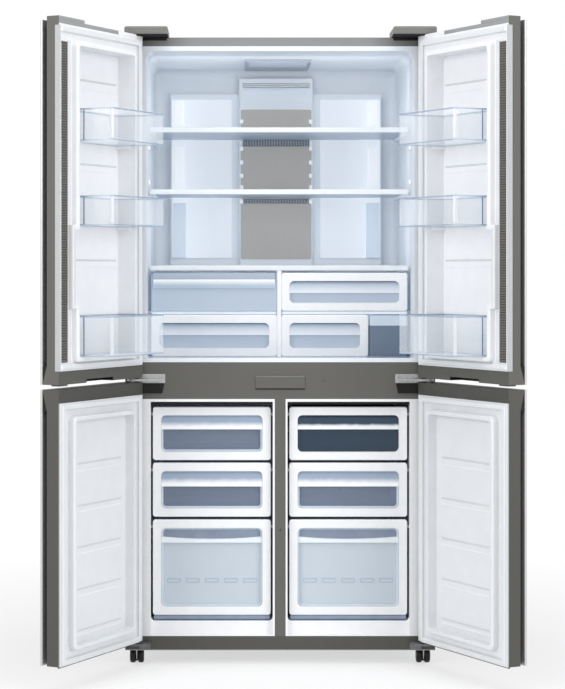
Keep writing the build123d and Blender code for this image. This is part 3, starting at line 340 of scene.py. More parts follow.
# The sheet on the lips of the upper doors, a little greyer
lip_sheet = surface("vacuum_formed_polystyrene_lip", "#dfe1e3", "#dbdddf", 40.0, 0.36, 0.03, 0.03)
# The liner's sheet in a greyer copy along the top of its moulded grooves: painted shade
groove_shade = surface("vacuum_formed_polystyrene_groove", "#d3d5d7", "#cfd1d3", 40.0, 0.4, 0.03, 0.03)
# Frosted polystyrene of the rims round the drawers' windows
pale_rim = surface("frosted_polystyrene_rim", "#ccd7e3", "#c4d0dd", 20.0, 0.35, 0.03, 0.04)


def lit_acrylic(name, colour, dim, strong):
    """Opal acrylic over lamps at the outer edge: white, with a glow that fades inwards."""
    material, tree, output = blank(name)
    vector = place(tree)
    normal = relief_on(tree, vector, 3.0, 1.0, 0.1)[1]
    glow = share_outwards(tree, vector, 190.0, 320.0, dim, strong)
    shader = add(
        tree, "BsdfPrincipled",
        {"Base Color": linear(colour), "Roughness": 0.4, "IOR": 1.49, "Emission Color": linear(colour)},
        {"Normal": normal, "Emission Strength": glow},
    )
    tree.links.new(shader.outputs["BSDF"], output.inputs["Surface"])
    return material


# Opal acrylic of the light panels, extruded, lit from the lamps at their outer edge
opal_acrylic = lit_acrylic("opal_acrylic_lit", "#e6eaef", 0.22, 0.32)
# The lenses over the lamps themselves, a little brighter than the panels
lamp_lens = lit_acrylic("acrylic_lamp_lens", "#eef0f2", 0.2, 0.34)
# Pale acrylic over the lowest part of the light panels, which only a little light reaches
lamp_cover = lit_acrylic("moulded_lamp_cover_acrylic", "#dbe5ef", 0.1, 0.16)
# A blue-black plate behind the air grilles, painted shade for the dark inside of the outlets, with a
# dull face
outlet_shade = surface(
    "air_outlet_painted_shade", "#43566b", "#394b5f", 2.0, 0.5, 0.05, 0.1, {"IOR": 1.49}
)
# Zinc-plated screws, turned and cross-recessed
screw_zinc = surface("zinc_plated_screw", "#b9b9b5", "#a3a39f", 1.5, 0.3, 0.05, 0.1, {"Metallic": 0.85})

slot_finishes = {
    "side_paint": grey_enamel, "galvanised": galvanised, "foam": foam, "liner_white": formed_white,
    "rail_paint": rail_enamel, "hinge_steel": zinc_steel, "dark_plastic": grey_abs,
    "duct_white": duct_plastic, "plate_metal": brushed_plate, "diffuser": opal_acrylic,
    "shelf_glass": float_glass, "compressor_black": shell_enamel, "fin_aluminium": fin_metal,
    "door_skin": silver_coat, "frame_paint": grey_enamel, "seal_rubber": soft_seal,
    "clear_plastic": blue_basket, "drawer_white": moulded_white, "tank_blue": tinted_tank,
    "caster_black": black_nylon,
}


def dress(piece, material):
    """One material all over a piece."""
    piece.data.materials.clear()
    piece.data.materials.append(material)


def node_slot(node):
    """The record's slot of a CAD node, from the name of the material that it carries in model.glb."""
    return node.data.materials[0].name.split(".")[0]


slots = {name: node_slot(node) for name, node in nodes.items()}
for name, node in nodes.items():
    dress(node, slot_finishes[slots[name]])
dress(nodes["fridge_liner"], formed_blue)


def body_of(name):
    """Which body carries a CAD node."""
    return nodes[name]["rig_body"]


def islands(name):
    """The separate solids of a CAD node as meshes of their own, with shared points joined."""
    mesh = bmesh.new()
    mesh.from_mesh(nodes[name].data)
    bmesh.ops.remove_doubles(mesh, verts=mesh.verts, dist=1e-6)
    left = set(mesh.faces)
    found = []
    for seed in mesh.faces:
        if seed not in left:
            continue
        left.remove(seed)
        group = [seed]
        queue = [seed]
        while queue:
            for edge in queue.pop().edges:
                for face in edge.link_faces:
                    if face in left:
                        left.remove(face)
                        group.append(face)
                        queue.append(face)
        found.append(group)
    solids = []
    for group in found:
        index = {}
        points = []
        polygons = []
        for face in group:
            for vertex in face.verts:
                if vertex not in index:
                    index[vertex] = len(points)
                    points.append(vertex.co.copy())
            polygons.append([index[vertex] for vertex in face.verts])
        solids.append((points, polygons))
    mesh.free()
    return solids


def centre(points):
    low = Vector([min(p[i] for p in points) for i in range(3)])
    high = Vector([max(p[i] for p in points) for i in range(3)])
    return (low + high) / 2


def piece(name, points, polygons, material, body, slot, smooth=True):
    """A new object that rides on a body and has one finish; slot is not used."""
    data = bpy.data.meshes.new(name)
    data.from_pydata([tuple(p) for p in points], [], polygons)
    data.validate()
    made = bpy.data.objects.new(name, data)
    bpy.context.scene.collection.objects.link(made)
    if smooth:
        data.polygons.foreach_set("use_smooth", [True] * len(data.polygons))
        data.set_sharp_from_angle(angle=math.radians(30))
    dress(made, material)
    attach(made, body)
    return made


def part_out(name, choose):
    """Replace a CAD node by its solids, each with the name and finish that choose gives."""
    made = []
    for number, (points, polygons) in enumerate(islands(name)):
        label, material = choose(centre(points), number)
        made.append(piece(label, points, polygons, material, body_of(name), slots[name]))
    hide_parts(name)
    return made


def sort_out(name, *choices):
    """Replace a CAD node by its solids, named and finished by where the centre of each lies."""
    return part_out(
        name, lambda middle, number: next(found for test, *found in choices if test(middle))
    )


# Shelves: a glass pane between white trims, in metres
trim_depth = 0.018
back_trim_y = 0.39
for name in ("upper_shelf", "lower_shelf", "drawer_shelf"):
    trim_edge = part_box(name)[0].y + trim_depth
    sort_out(
        name, (lambda c, y=trim_edge: c.y < y, name + "_front_trim", trim_white),
        (lambda c: c.y > back_trim_y, name + "_back_trim", trim_white),
        (lambda c: True, name + "_glass", float_glass),
    )

# Drawers: a white frame with the clear basket behind it
framed = [
    f"{side}_{level}_freezer_drawer"
    for side in ("right", "left")
    for level in ("top", "middle", "bottom")
]
framed += ["upper_right_fridge_drawer", "lower_left_fridge_drawer", "lower_right_fridge_drawer"]
basket_finishes = {"bottom_freezer_drawer": milky_basket, "freezer_drawer": smoked_basket}
basket_finishes["fridge_drawer"] = blue_basket


def basket_finish(name):
    """The plastic of a drawer's basket."""
    if name == "right_top_freezer_drawer":
        return tinted_crystal
    return next(finish for end, finish in basket_finishes.items() if name.endswith(end))


frame_depth = 0.014
for name in framed:
    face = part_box(name)[0].y + frame_depth
    basket = basket_finish(name)
    sort_out(
        name, (lambda c, y=face: c.y < y, name + "_frame", moulded_white),
        (lambda c: True, name + "_basket", basket),
    )

# Rails: the top one in the paler copy of the enamel, painted light, and the bottom one in the darker
# copy, painted shade
sort_out(
    "front_rails", (lambda c: c.z > 1.7, "top_rail", lit_rail_enamel),
    (lambda c: c.z < 0.2, "bottom_rail", shaded_enamel), (lambda c: c.z < 0.6, "bay_post", rail_enamel),
    (lambda c: c.y < front - 0.001, "rail_plate", rail_enamel),
    (lambda c: True, "middle_rail", rail_enamel),
)


def side_word(x):
    return "right" if x > 0 else "left"


def hinge_level(z):
    return "top" if z > 1.5 else "middle" if z > 0.5 else "bottom"


def paint(part, material, test):
    """A further finish on the faces whose points all pass a test."""
    part.data.materials.append(material)
    last = len(part.data.materials) - 1
    for polygon in part.data.polygons:
        if all(test(part.data.vertices[i].co) for i in polygon.vertices):
            polygon.material_index = last


# The middle hinges' lower parts are painted black below this level, behind the plates, as painted shade
# under the plates, and slant outwards
shade_block_top = 0.809
plate_back = front - 0.008
block_slant = 0.006
for part in part_out("hinges", lambda c, n: (f"{side_word(c.x)}_{hinge_level(c.z)}_hinge", zinc_steel)):
    # The top hinges show only in the shade under the covers and are painted black all over, as painted
    # shade
    if "top" in part.name:
        dress(part, black_coat_and_shade)
    if "bottom" in part.name:
        dress(part, darker_zinc)
    if "middle" not in part.name:
        continue
    paint(part, black_coat_and_shade, lambda p: p.z < shade_block_top + 0.0005 and p.y > plate_back)
    low = min(v.co.z for v in part.data.vertices if v.co.y > plate_back)
    inner = min(abs(v.co.x) for v in part.data.vertices)
    for vertex in part.data.vertices:
        if vertex.co.z < low + 0.001 and abs(vertex.co.x) < inner + 0.004:
            vertex.co.x += math.copysign(block_slant, vertex.co.x)


def swing(x, y, z, sign):
    """A point of a shut door, in mm from the cabinet's front plane, where the open door has it."""
    rx = x * MM - pivot_x
    ry = y * MM - pivot_y
    turned_x = pivot_x + rx * math.cos(door_angle) - ry * math.sin(door_angle)
    turned_y = pivot_y + rx * math.sin(door_angle) + ry * math.cos(door_angle)
    return Vector((sign * turned_x, front + turned_y, z * MM))


def swung(sign):
    """A placing function for pieces that are measured on a shut door."""
    return lambda x, y, z: swing(x, y, z, sign)


def shut(point, sign):
    """Where a point of an open door lies when the door is shut, in mm."""
    rx = sign * point.x - pivot_x
    ry = point.y - front - pivot_y
    x = pivot_x + rx * math.cos(door_angle) + ry * math.sin(door_angle)
    y = pivot_y - rx * math.sin(door_angle) + ry * math.cos(door_angle)
    return Vector((x, y, point.z)) / MM


# The doors' free edge, the grip groove beside it and the notch under an upper door, in mm
free_edge = 3.0
groove_end = 28.6
groove_back = -49.4
notch_low = 826.5
notch_high = 836.6
notch_left = 142.5
notch_right = 283.5


def in_groove(place):
    return place.x < groove_end and place.y < groove_back


def on_lip(place):
    """The long lip between the ribbed strip and the recess."""
    return 36.0 < place.x < 56.0 and place.y > -11.9


def in_notch(place):
    return notch_left < place.x < notch_right and notch_low - 1 < place.z < notch_high


# The floor of each liner's recess and where its low bosses lie, in mm
liner_floors = {"upper": -47.0, "lower": -15.0}
liner_start = 75.0
liner_end = 345.0
for side, sign in side_signs.items():
    for level in ("upper", "lower"):
        door = f"{side}_{level}_door"
        # The lower doors take the darker copies of the enamel and of the liner's sheet, painted shade
        enamel = grey_enamel if level == "upper" else shaded_enamel
        white = formed_white if level == "upper" else shaded_formed_white
        for part in part_out(door + "_body", lambda c, n, d=door, e=enamel: (d + "_frame", e)):
            paint(part, black_coat_and_shade, lambda p, s=sign: in_groove(shut(p, s)))
            if level == "upper":
                paint(part, black_coat_and_shade, lambda p, s=sign: in_notch(shut(p, s)))
        for part in part_out(door + "_liner", lambda c, n, d=door, w=white: (d + "_inner", w)):
            # Painted shade on the liner's return along the free edge
            paint(part, shaded_edge_sheet, lambda p, s=sign: shut(p, s).x < free_edge + 0.3)
            if level == "upper":
                paint(part, lip_sheet, lambda p, s=sign: on_lip(shut(p, s)))
            base = liner_floors[level]
            for vertex in part.data.vertices:
                spot = shut(vertex.co, sign)
                if liner_start < spot.x < liner_end and base + 1.5 < spot.y < base + 2.5:
                    rise = spot.y - base
                    turned = Vector((math.sin(door_angle), -math.cos(door_angle), 0)) * rise * MM
                    vertex.co += Vector((sign * turned.x, turned.y, 0))

# Door bins: clear walls, with a blue-grey look where the wall is seen along its edge
bin_names = [
    f"{side}_{level}_door_bin" for side in ("right", "left") for level in ("top", "middle", "bottom")
]
for name in bin_names:
    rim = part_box(name)[1].z - 0.0003
    for part in part_out(name, lambda c, n, label=name: (label + "_wall", crystal)):
        paint(part, crystal_rim_and_shade, lambda p, z=rim: p.z > z)

# The tank: a dark body under a light cap
cap_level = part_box("water_tank")[1].z - 0.0301
for part in part_out("water_tank", lambda c, n: (f"tank_{n + 1}", tinted_tank)):
    paint(part, pale_rim, lambda p: p.z > cap_level)

# The ducts: the tower and its wings, and the vent in the ceiling, which is a shade greyer
duct_parts = sort_out(
    "air_ducts", (lambda c: c.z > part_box("air_ducts")[1].z - 0.006, "ceiling_vent", vent_plastic),
    (lambda c: True, "duct_tower", duct_plastic),
)


def strip_between(rows, closed, ends):
    """Faces that join rows of points of the same length, as a tube with capped or joined ends."""
    count = len(rows[0])
    faces = []
    span = len(rows) if closed else len(rows) - 1
    for row in range(span):
        for column in range(count):
            a = row * count + column
            b = row * count + (column + 1) % count
            c = ((row + 1) % len(rows)) * count + (column + 1) % count
            d = ((row + 1) % len(rows)) * count + column
            faces.append((a, b, c, d))
    if ends and not closed:
        faces.append(tuple(range(count))[::-1])
        faces.append(tuple((len(rows) - 1) * count + i for i in range(count)))
    return [point for row in rows for point in row], faces


# Magnetic seal: a flat foot, a bellows fold and the magnet's pocket, in mm across and up
seal_profile = (
    (0.0, 0.0), (18.0, 0.0), (18.0, 1.4), (14.8, 1.8), (13.4, 3.0), (15.2, 4.2), (15.8, 5.6),
    (14.8, 7.0), (12.4, 7.6), (5.6, 7.6), (3.2, 7.0), (2.2, 5.6), (2.8, 4.2), (4.6, 3.0), (3.2, 1.8),
    (0.0, 1.4),
)
seal_base = -8.0
seal_hinge_x = 424.0
# Ribbed strip at an upper door's free edge: ribs 7 mm apart, as coarse as they need to show
rib_start = 6.0
rib_end = 36.5
rib_pitch = 7.0
rib_bottom = 886.0
rib_top_margin = 38.0
rib_profile = ((0.0, 0.0), (0.35, 0.0), (0.5, 1.0), (0.62, 2.0), (0.85, 2.0), (1.0, 1.0))


def ribbed_strip(side):
    """A strip whose face is pressed into cross ribs; the valleys between them are painted dark, as
    painted shade.
    """
    sign = side_signs[side]
    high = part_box(f"{side}_upper_door_gasket")[1].z / MM
    rows = []
    for number in range(int((high - rib_top_margin - rib_bottom) / rib_pitch)):
        for along, rise in rib_profile:
            z = rib_bottom + (number + along) * rib_pitch
            y = seal_base + 1.5 + rise
            rows.append([swing(x, y, z, sign) for x in (rib_start, rib_end)])
    wall = [
        [*row, *(swing(x, seal_base, row[0].z / MM, sign) for x in (rib_end, rib_start))]
        for row in rows
    ]
    points, faces = strip_between(wall, False, True)
    made = piece(f"{side}_ribbed_strip", points, faces, dark_seal, f"{side}_upper_door", "seal_rubber")
    paint(made, seal_valley_shade, lambda p: seal_base + 1.0 < shut(p, sign).y < seal_base + 1.6)


def door_seal(side, level):
    """The soft seal round a door; on an upper door it stops at the ribbed strip."""
    node = f"{side}_{level}_door_gasket"
    sign = side_signs[side]
    low, high = (corner.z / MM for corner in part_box(node))
    free = 6.0 if level == "upper" else 5.0
    closed = level == "lower"
    rows = []
    corners = ((free, low, int(closed), 1), (seal_hinge_x, low, -1, 1))
    corners += ((seal_hinge_x, high, -1, -1), (free, high, int(closed), -1))
    for x, z, step_x, step_z in corners:
        rows.append(
            [swing(x + step_x * w, seal_base + h, z + step_z * w, sign) for w, h in seal_profile]
        )
    points, faces = strip_between(rows, closed, True)
    body = f"{side}_{level}_door"
    made = piece(body + "_seal", points, faces, soft_seal, body, "seal_rubber")
    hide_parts(node)


for side in ("right", "left"):
    ribbed_strip(side)
    for level in ("upper", "lower"):
        door_seal(side, level)


def at(x, y, z):
    """A place in mm from the cabinet's front plane, in the shared frame."""
    return Vector((x * MM, front + y * MM, z * MM))


def rounded_bar(name, low, high, edge, material, body, slot, put=at):
    """A small moulded block with rounded edges, between two corners in mm."""
    mesh = bmesh.new()
    bmesh.ops.create_cube(mesh, size=1.0)
    size = [abs(b - a) for a, b in zip(low, high)]
    middle = [(a + b) / 2 for a, b in zip(low, high)]
    for vertex in mesh.verts:
        vertex.co = Vector([c * s + m for c, s, m in zip(vertex.co, size, middle)])
    bmesh.ops.bevel(mesh, geom=mesh.edges[:], offset=edge, segments=3, profile=0.5, affect="EDGES")
    points = [put(*v.co) for v in mesh.verts]
    faces = [[v.index for v in f.verts] for f in mesh.faces]
    mesh.free()
    return piece(name, points, faces, material, body, slot)


# Everything on the tower and the light panels lies in front of these planes, in mm
tower_y = 558.0
panel_y = 565.0
clip_levels = (1602.0, 1566.0, 1517.0, 1473.0, 1431.0, 1395.0, 1350.0)
# The cooling plates' white clips take the lamp lenses' acrylic, whose glow on them is painted light
for sign in (-1, 1):
    for number, level in enumerate(clip_levels):
        middle = sign * 109.0
        rounded_bar(
            f"{side_word(sign)}_plate_clip_{number + 1}", (middle - 5.5, tower_y - 5.5, level - 6.5),
            (middle + 5.5, tower_y - 0.5, level + 6.5), 2.0, lamp_lens, "cabinet", "duct_white",
        )

# The bare strip under the tower's top slots, in the lamp covers' acrylic, whose faint glow on it is
# painted light
rounded_bar(
    "tower_strip", (-95.0, tower_y - 1.4, 1687.0), (95.0, tower_y - 0.2, 1704.0), 0.5, lamp_cover,
    "cabinet", "duct_white",
)

# Air grilles in the gaps between the cooling plates: pale fins in front of a dark plate, painted shade
# inside the outlets
grille_half = 103.0
grille_pitch = 5.0
box_faces = ((0, 1, 2, 3), (4, 7, 6, 5), (0, 4, 5, 1), (1, 5, 6, 2), (2, 6, 7, 3), (3, 7, 4, 0))
for number, (low, high) in enumerate(((1345.5, 1357.5), (1525.5, 1543.5))):
    rounded_bar(
        f"air_outlet_shade_{number + 1}", (-grille_half, tower_y - 0.9, low),
        (grille_half, tower_y - 0.2, high), 0.2, outlet_shade, "cabinet", "duct_white",
    )
    mesh_points = []
    mesh_faces = []
    for fin in range(int(2 * grille_half / grille_pitch)):
        x0 = -grille_half + 2 + fin * grille_pitch
        base = len(mesh_points)
        for z in (low + 0.5, high - 0.5):
            for x, y in ((0.0, -1.9), (1.2, -1.9), (1.2, -0.8), (0.0, -0.8)):
                mesh_points.append(at(x0 + x, tower_y + y, z))
        for quad in box_faces:
            mesh_faces.append([base + i for i in quad])
    piece(
        f"air_grille_fins_{number + 1}", mesh_points, mesh_faces, duct_plastic, "cabinet", "duct_white",
        False,
    )

# Slats across the front part of the ceiling's vent
vent_face = min(v.co.z for part in duct_parts if "vent" in part.name for v in part.data.vertices) / MM
slat_start = 236.0
slat_pitch = 34.0
for number in range(5):
    near = slat_start + slat_pitch * number
    rounded_bar(
        f"vent_slat_{number + 1}", (-88.0, near, vent_face - 0.7), (88.0, near + 9.0, vent_face + 0.6),
        0.6, pale_rim, "cabinet", "duct_white",
    )

# Plain covers over the lowest part of the light panels' outer strips
for sign in (-1, 1):
    rounded_bar(
        f"{side_word(sign)}_low_lamp_cover", (sign * 284.0, panel_y - 5.0, 1172.0),
        (sign * 326.0, panel_y - 0.3, 1346.0), 2.0, lamp_cover, "cabinet", "diffuser",
    )

# Lamp lenses in the outer strips of the light panels
lens_levels = ((1590.0, 1668.0), (1400.0, 1520.0))
for sign in (-1, 1):
    for number, (low, high) in enumerate(lens_levels):
        rounded_bar(
            f"{side_word(sign)}_lamp_lens_{number + 1}", (sign * 292.0, panel_y - 4.0, low),
            (sign * 322.0, panel_y - 0.3, high), 1.8, lamp_lens, "cabinet", "diffuser",
        )


def rounded_loop(x0, x1, z0, z1, radius, steps=6):
    """The outline of a rounded rectangle, as pairs across and up."""
    points = []
    corners = ((x1, z1, -1, -1, 0), (x0, z1, 1, -1, 90), (x0, z0, 1, 1, 180), (x1, z0, -1, 1, 270))
    for x, z, step_x, step_z, start in corners:
        for step in range(steps + 1):
            angle = math.radians(start + 90 * step / steps)
            across = x + step_x * radius + radius * math.cos(angle)
            points.append((across, z + step_z * radius + radius * math.sin(angle)))
    return points


def window_ring(name, box, radius, width, y0, y1, material, body, slot):
    """A flat ring with eased front edges, for a window's rim or an embossed outline, in mm."""
    x0, x1, z0, z1 = box
    ease = min(1.0, width / 3)
    layers = ((0, y1), (0, y0 + ease), (ease, y0), (width - ease, y0), (width, y0 + ease), (width, y1))
    loops = [
        [at(x, y, z) for x, z in rounded_loop(x0 + w, x1 - w, z0 + w, z1 - w, max(radius - w, 0.5))]
        for w, y in layers
    ]
    points, faces = strip_between(list(zip(*loops)), True, False)
    return piece(name, points, faces, material, body, slot)


def grip_lip(name, x0, x1, y, z0, z1, depth, sag, material, body):
    """A drawer's grip: a lip that rolls back as it rises, and may dip in the middle, in mm."""
    stations = 16
    rows = []
    for station in range(stations + 1):
        across = 2 * station / stations - 1
        top = z1 - sag * (1 - across * across)
        row = [at(x0 + (x1 - x0) * station / stations, y + depth, z0)]
        for step in range(7):
            turn = math.radians(90 * step / 6)
            back = depth * (1 - math.cos(turn))
            row.append(
                at(x0 + (x1 - x0) * station / stations, y + back, z0 + (top - z0) * math.sin(turn))
            )
        rows.append(row)
    points, faces = strip_between(rows, False, True)
    piece(name, points, faces, material, body, "drawer_white")


# Freezer drawers: window, rolled grip and embossings, in mm with X from the middle
window_inner = 50.7
window_outer = 343.3
window_corner = 14.0
rim_width = 6.0
freezer_windows = {"top": (609.0, 715.0), "middle": (445.5, 553.5), "bottom": (162.0, 389.5)}
freezer_grips = {"top": 674.0, "middle": 509.0, "bottom": 346.0}
embossing_level = 230.0
embossing_pitch = 55.0
for side, sign in side_signs.items():
    for level, (low, high) in freezer_windows.items():
        body = f"{side}_{level}_freezer_drawer"
        x0, x1 = sorted((sign * window_inner, sign * window_outer))
        dark = body == "right_top_freezer_drawer"
        if not dark:
            window_ring(
                f"{body}_rim", (x0, x1, low, high), window_corner, rim_width, 30.5, 33.9, pale_rim,
                body, "clear_plastic",
            )
        grip = freezer_grips[level]
        if level == "bottom":
            grip_lip(
                f"{body}_grip", x0 + 0.5, x1 - 0.5, 26.0, grip, grip + 18, 7.5, 7.0, satin_lip, body
            )
            # Painted shade: a plate above the deep drawer's lip for its shaded inside, and a bar below
            # the drawer for the shadow under it
            rounded_bar(
                f"{body}_inner_shade_wall", (x0 + 1, 32.6, grip + 4), (x1 - 1, 33.9, high - 0.6), 0.5,
                shaded_wall, body, "clear_plastic",
            )
            rounded_bar(
                f"{body}_foot", (sign * 29.0, 22.0, 123.6), (sign * 365.0, 66.0, 137.6), 4.0,
                shaded_wall, body, "clear_plastic",
            )
        else:
            finish = dark_grip if dark else rolled_grip
            grip_lip(f"{body}_grip", x0 + 0.5, x1 - 0.5, 21.5, grip, high - 1, 12.0, 0.0, finish, body)
    for number in range(5):
        middle = sign * (window_inner + window_outer) / 2 + (number - 2) * embossing_pitch
        window_ring(
            f"{side}_drawer_embossing_{number + 1}",
            (middle - 19.5, middle + 19.5, embossing_level, embossing_level + 12), 3.0, 1.6, 33.0, 34.1,
            crystal_rim_and_shade, f"{side}_bottom_freezer_drawer", "clear_plastic",
        )

# Fridge drawers: rolled grips in their windows and on the open case
fridge_grips = {
    "upper_right_fridge_drawer": (30.2, 351.8, 1067.0, 1101.8),
    "lower_left_fridge_drawer": (-351.8, -30.2, 943.5, 978.8),
    "lower_right_fridge_drawer": (30.2, 236.8, 943.5, 978.8),
}
for body, (x0, x1, low, high) in fridge_grips.items():
    grip_lip(body + "_grip", x0, x1, 111.5, low, high, 12.0, 0.0, pale_grip, body)
case = "upper_left_fridge_case"
grip_lip("fridge_case_lip", -369.0, -13.0, 103.0, 1081.0, 1106.5, 3.0, 0.0, case_grip, case)
# A thin glowing wall above the case's lip, painted light for the lit inside of the case
low = (-369.0, 108.4, 1104.0)
high = (-13.0, 109.6, 1126.0)
rounded_bar("fridge_case_wall", low, high, 0.5, pale_case, case, "clear_plastic")


# A bin's plan with its door shut, in mm from the cabinet's middle and front plane
bin_left = 90.0
bin_right = 364.0
bin_hip = 374.0
bin_back = -46.0
bin_step = 13.0
bin_front = 103.0
bin_corner = 12.0
ridge_top = 10.0


def bin_plan(grow, start=0, end=180):
    """The bin's outline grown outwards; a part of its two round corners when start is over nought."""
    radius = bin_corner + grow
    arcs = []
    for step in range(17):
        angle = 180 * step / 16
        if not start <= angle <= end:
            continue
        centre_x = bin_hip + grow - radius if angle < 90 else bin_left - grow + radius
        turn = math.radians(angle)
        arcs.append(
            (centre_x + radius * math.cos(turn), bin_front + grow - radius + radius * math.sin(turn))
        )
    if start:
        return arcs
    foot = [(bin_left - grow, bin_back - grow), (bin_right + grow, bin_back - grow)]
    foot += [(bin_right + grow, bin_step - grow), (bin_hip + grow, bin_step - grow)]
    return foot + arcs


def bin_band(name, z0, z1, proud, material, side, body, start=0, end=180):
    """A raised band that runs round a bin, or stands at one of its corners."""
    sign = side_signs[side]
    rows = []
    for (ox, oy), (ix, iy) in zip(bin_plan(proud, start, end), bin_plan(-0.4, start, end)):
        rows.append(
            [
                swing(ox, oy, z0, sign), swing(ox, oy, z1, sign), swing(ix, iy, z1, sign),
                swing(ix, iy, z0, sign),
            ]
        )
    points, faces = strip_between(rows, start == 0, start > 0)
    piece(name, points, faces, material, body, "clear_plastic")


rim_band = 4.0
foot_band = 3.0
for body in bin_names:
    side = body.split("_")[0]
    low, high = (corner.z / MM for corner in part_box(body))
    bin_band(body + "_rim", high - rim_band, high - 0.1, 0.6, crystal_rim_and_shade, side, body)
    bin_band(body + "_foot", low, low + foot_band, 0.5, crystal_rim_and_shade, side, body)
    # A painted highlight up each bin's rounded outer corner
    bin_band(body + "_corner", low + 6, high - 5, 0.7, crystal_corner_highlight, side, body, 112, 162)
    sign = side_signs[side]
    rounded_bar(
        body + "_end_edge", (bin_left - 0.6, ridge_top + 0.5, low + 3),
        (bin_left + 1.2, ridge_top + 4.5, high - 4), 0.8, crystal_end, body, "clear_plastic",
        swung(sign),
    )


def cove(name, corner, ways, radius, start, end, material, put):
    """A hollow moulded corner between two walls, run between two places along them, in mm."""
    centre_a = corner[0] + ways[0] * radius
    centre_b = corner[1] + ways[1] * radius
    rows = []
    for run in (start, end):
        row = [put(*corner, run)]
        for step in range(9):
            turn = math.radians(90 * step / 8)
            a = centre_a - ways[0] * radius * math.sin(turn)
            b = centre_b - ways[1] * radius * math.cos(turn)
            row.append(put(a, b, run))
        rows.append(row)
    points, faces = strip_between(rows, False, True)
    piece(name, points, faces, material, "cabinet", "liner_white")


def from_front(x, z, y):
    """The places of a corner that runs from the front to the back."""
    return at(x, y, z)


# Moulded round corners of the two tubs
wall_x = 385.0
ceiling_z = 1765.0
back_y = 592.0
cove_radius = 26.0
for side, sign in side_signs.items():
    cove(
        f"{side}_ceiling_cove", (sign * wall_x, ceiling_z), (-sign, -1), cove_radius, 0.0, back_y,
        formed_blue, from_front,
    )
    cove(
        f"{side}_back_cove", (sign * wall_x, back_y), (-sign, -1), cove_radius, 1150.0, ceiling_z,
        formed_blue, at,
    )
    for edge, way in ((21.0, 1), (373.0, -1)):
        cove(
            f"{side}_threshold_cove_{int(edge)}", (sign * edge, 122.0), (sign * way, 1), 12.0, 18.0,
            88.0, formed_white, from_front,
        )
cove(
    "ceiling_back_cove", (back_y, ceiling_z), (-1, -1), cove_radius, -wall_x, wall_x, formed_blue,
    lambda a, b, run: at(run, a, b),
)

# A pale cross rail in the gap between the two rows of fridge drawers, in the lamp covers' acrylic,
# whose faint glow on it is painted light
for name, x0, x1 in (("left", -375.0, -8.0), ("right", 8.0, 375.0)):
    rounded_bar(
        f"{name}_cross_rail", (x0, 113.5, 1004.2), (x1, 124.0, 1013.0), 1.5, lamp_cover, "cabinet",
        "liner_white",
    )

# Small moulded supports on the fridge's side walls, above and below the shelves
for side, sign in side_signs.items():
    for number, level in enumerate((1485.0, 1384.0)):
        rounded_bar(
            f"{side}_shelf_support_{number + 1}", (sign * 377.5, 84.0, level),
            (sign * wall_x, 104.0, level + 14.0), 2.5, moulded_white, "cabinet", "liner_white",
        )

# Painted shade: a blue-grey strip on the floor in front of the fridge's drawers, the freezer's shaded
# sills, and a black strip for the shadow in the gap at the head of each freezer bay
rounded_bar(
    "fridge_floor_shade", (-380.0, 5.0, 880.4), (380.0, 105.0, 881.15), 0.2, crystal_rim_and_shade, "cabinet",
    "liner_white",
)
for side, sign in side_signs.items():
    for name, low, high, edge, finish in (
        ("sill_strip", (sign * 36.0, 20.0, 121.8), (sign * 358.0, 87.0, 122.6), 0.3, crystal_rim_and_shade),
        ("bay_head_seal", (sign * 22.0, 3.0, 747.5), (sign * 372.0, 19.0, 754.8), 1.5, black_coat_and_shade),
    ):
        rounded_bar(f"{side}_{name}", low, high, edge, finish, "cabinet", "liner_white")

# The middle rail's plate: a painted highlight along its top edge and a black strip under it as painted
# shadow
rounded_bar(
    "rail_plate_top", (-71.5, -3.6, 827.6), (71.5, -1.0, 829.4), 0.5, lit_rail_enamel, "cabinet",
    "rail_paint",
)
rounded_bar(
    "rail_plate_foot", (-71.0, -3.4, 790.8), (71.0, -0.2, 793.2), 0.5, black_coat_and_shade, "cabinet",
    "rail_paint",
)

# Top hinge covers: the underside and a band round the foot are black, painted shade under the covers; a
# black plate on the top rail under each is painted shadow
cover_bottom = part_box("hinge_covers")[0].z
for part in part_out("hinge_covers", lambda c, n: (side_word(c.x) + "_hinge_cover", grey_abs)):
    paint(part, black_coat_and_shade, lambda p: p.z < cover_bottom + 0.0005)
for side, sign in side_signs.items():
    low = (sign * 321.4, -55.8, cover_bottom / MM - 0.4)
    high = (sign * 446.5, 100.5, cover_bottom / MM + 4.6)
    rounded_bar(f"{side}_cover_foot", low, high, 1.2, black_coat_and_shade, "cabinet", "dark_plastic")
    low = (sign * 326.0, -0.8, 1794.5)
    high = (sign * 400.0, 0.4, 1807.8)
    rounded_bar(f"{side}_cover_shadow_plate", low, high, 0.3, black_coat_and_shade, "cabinet", "dark_plastic")

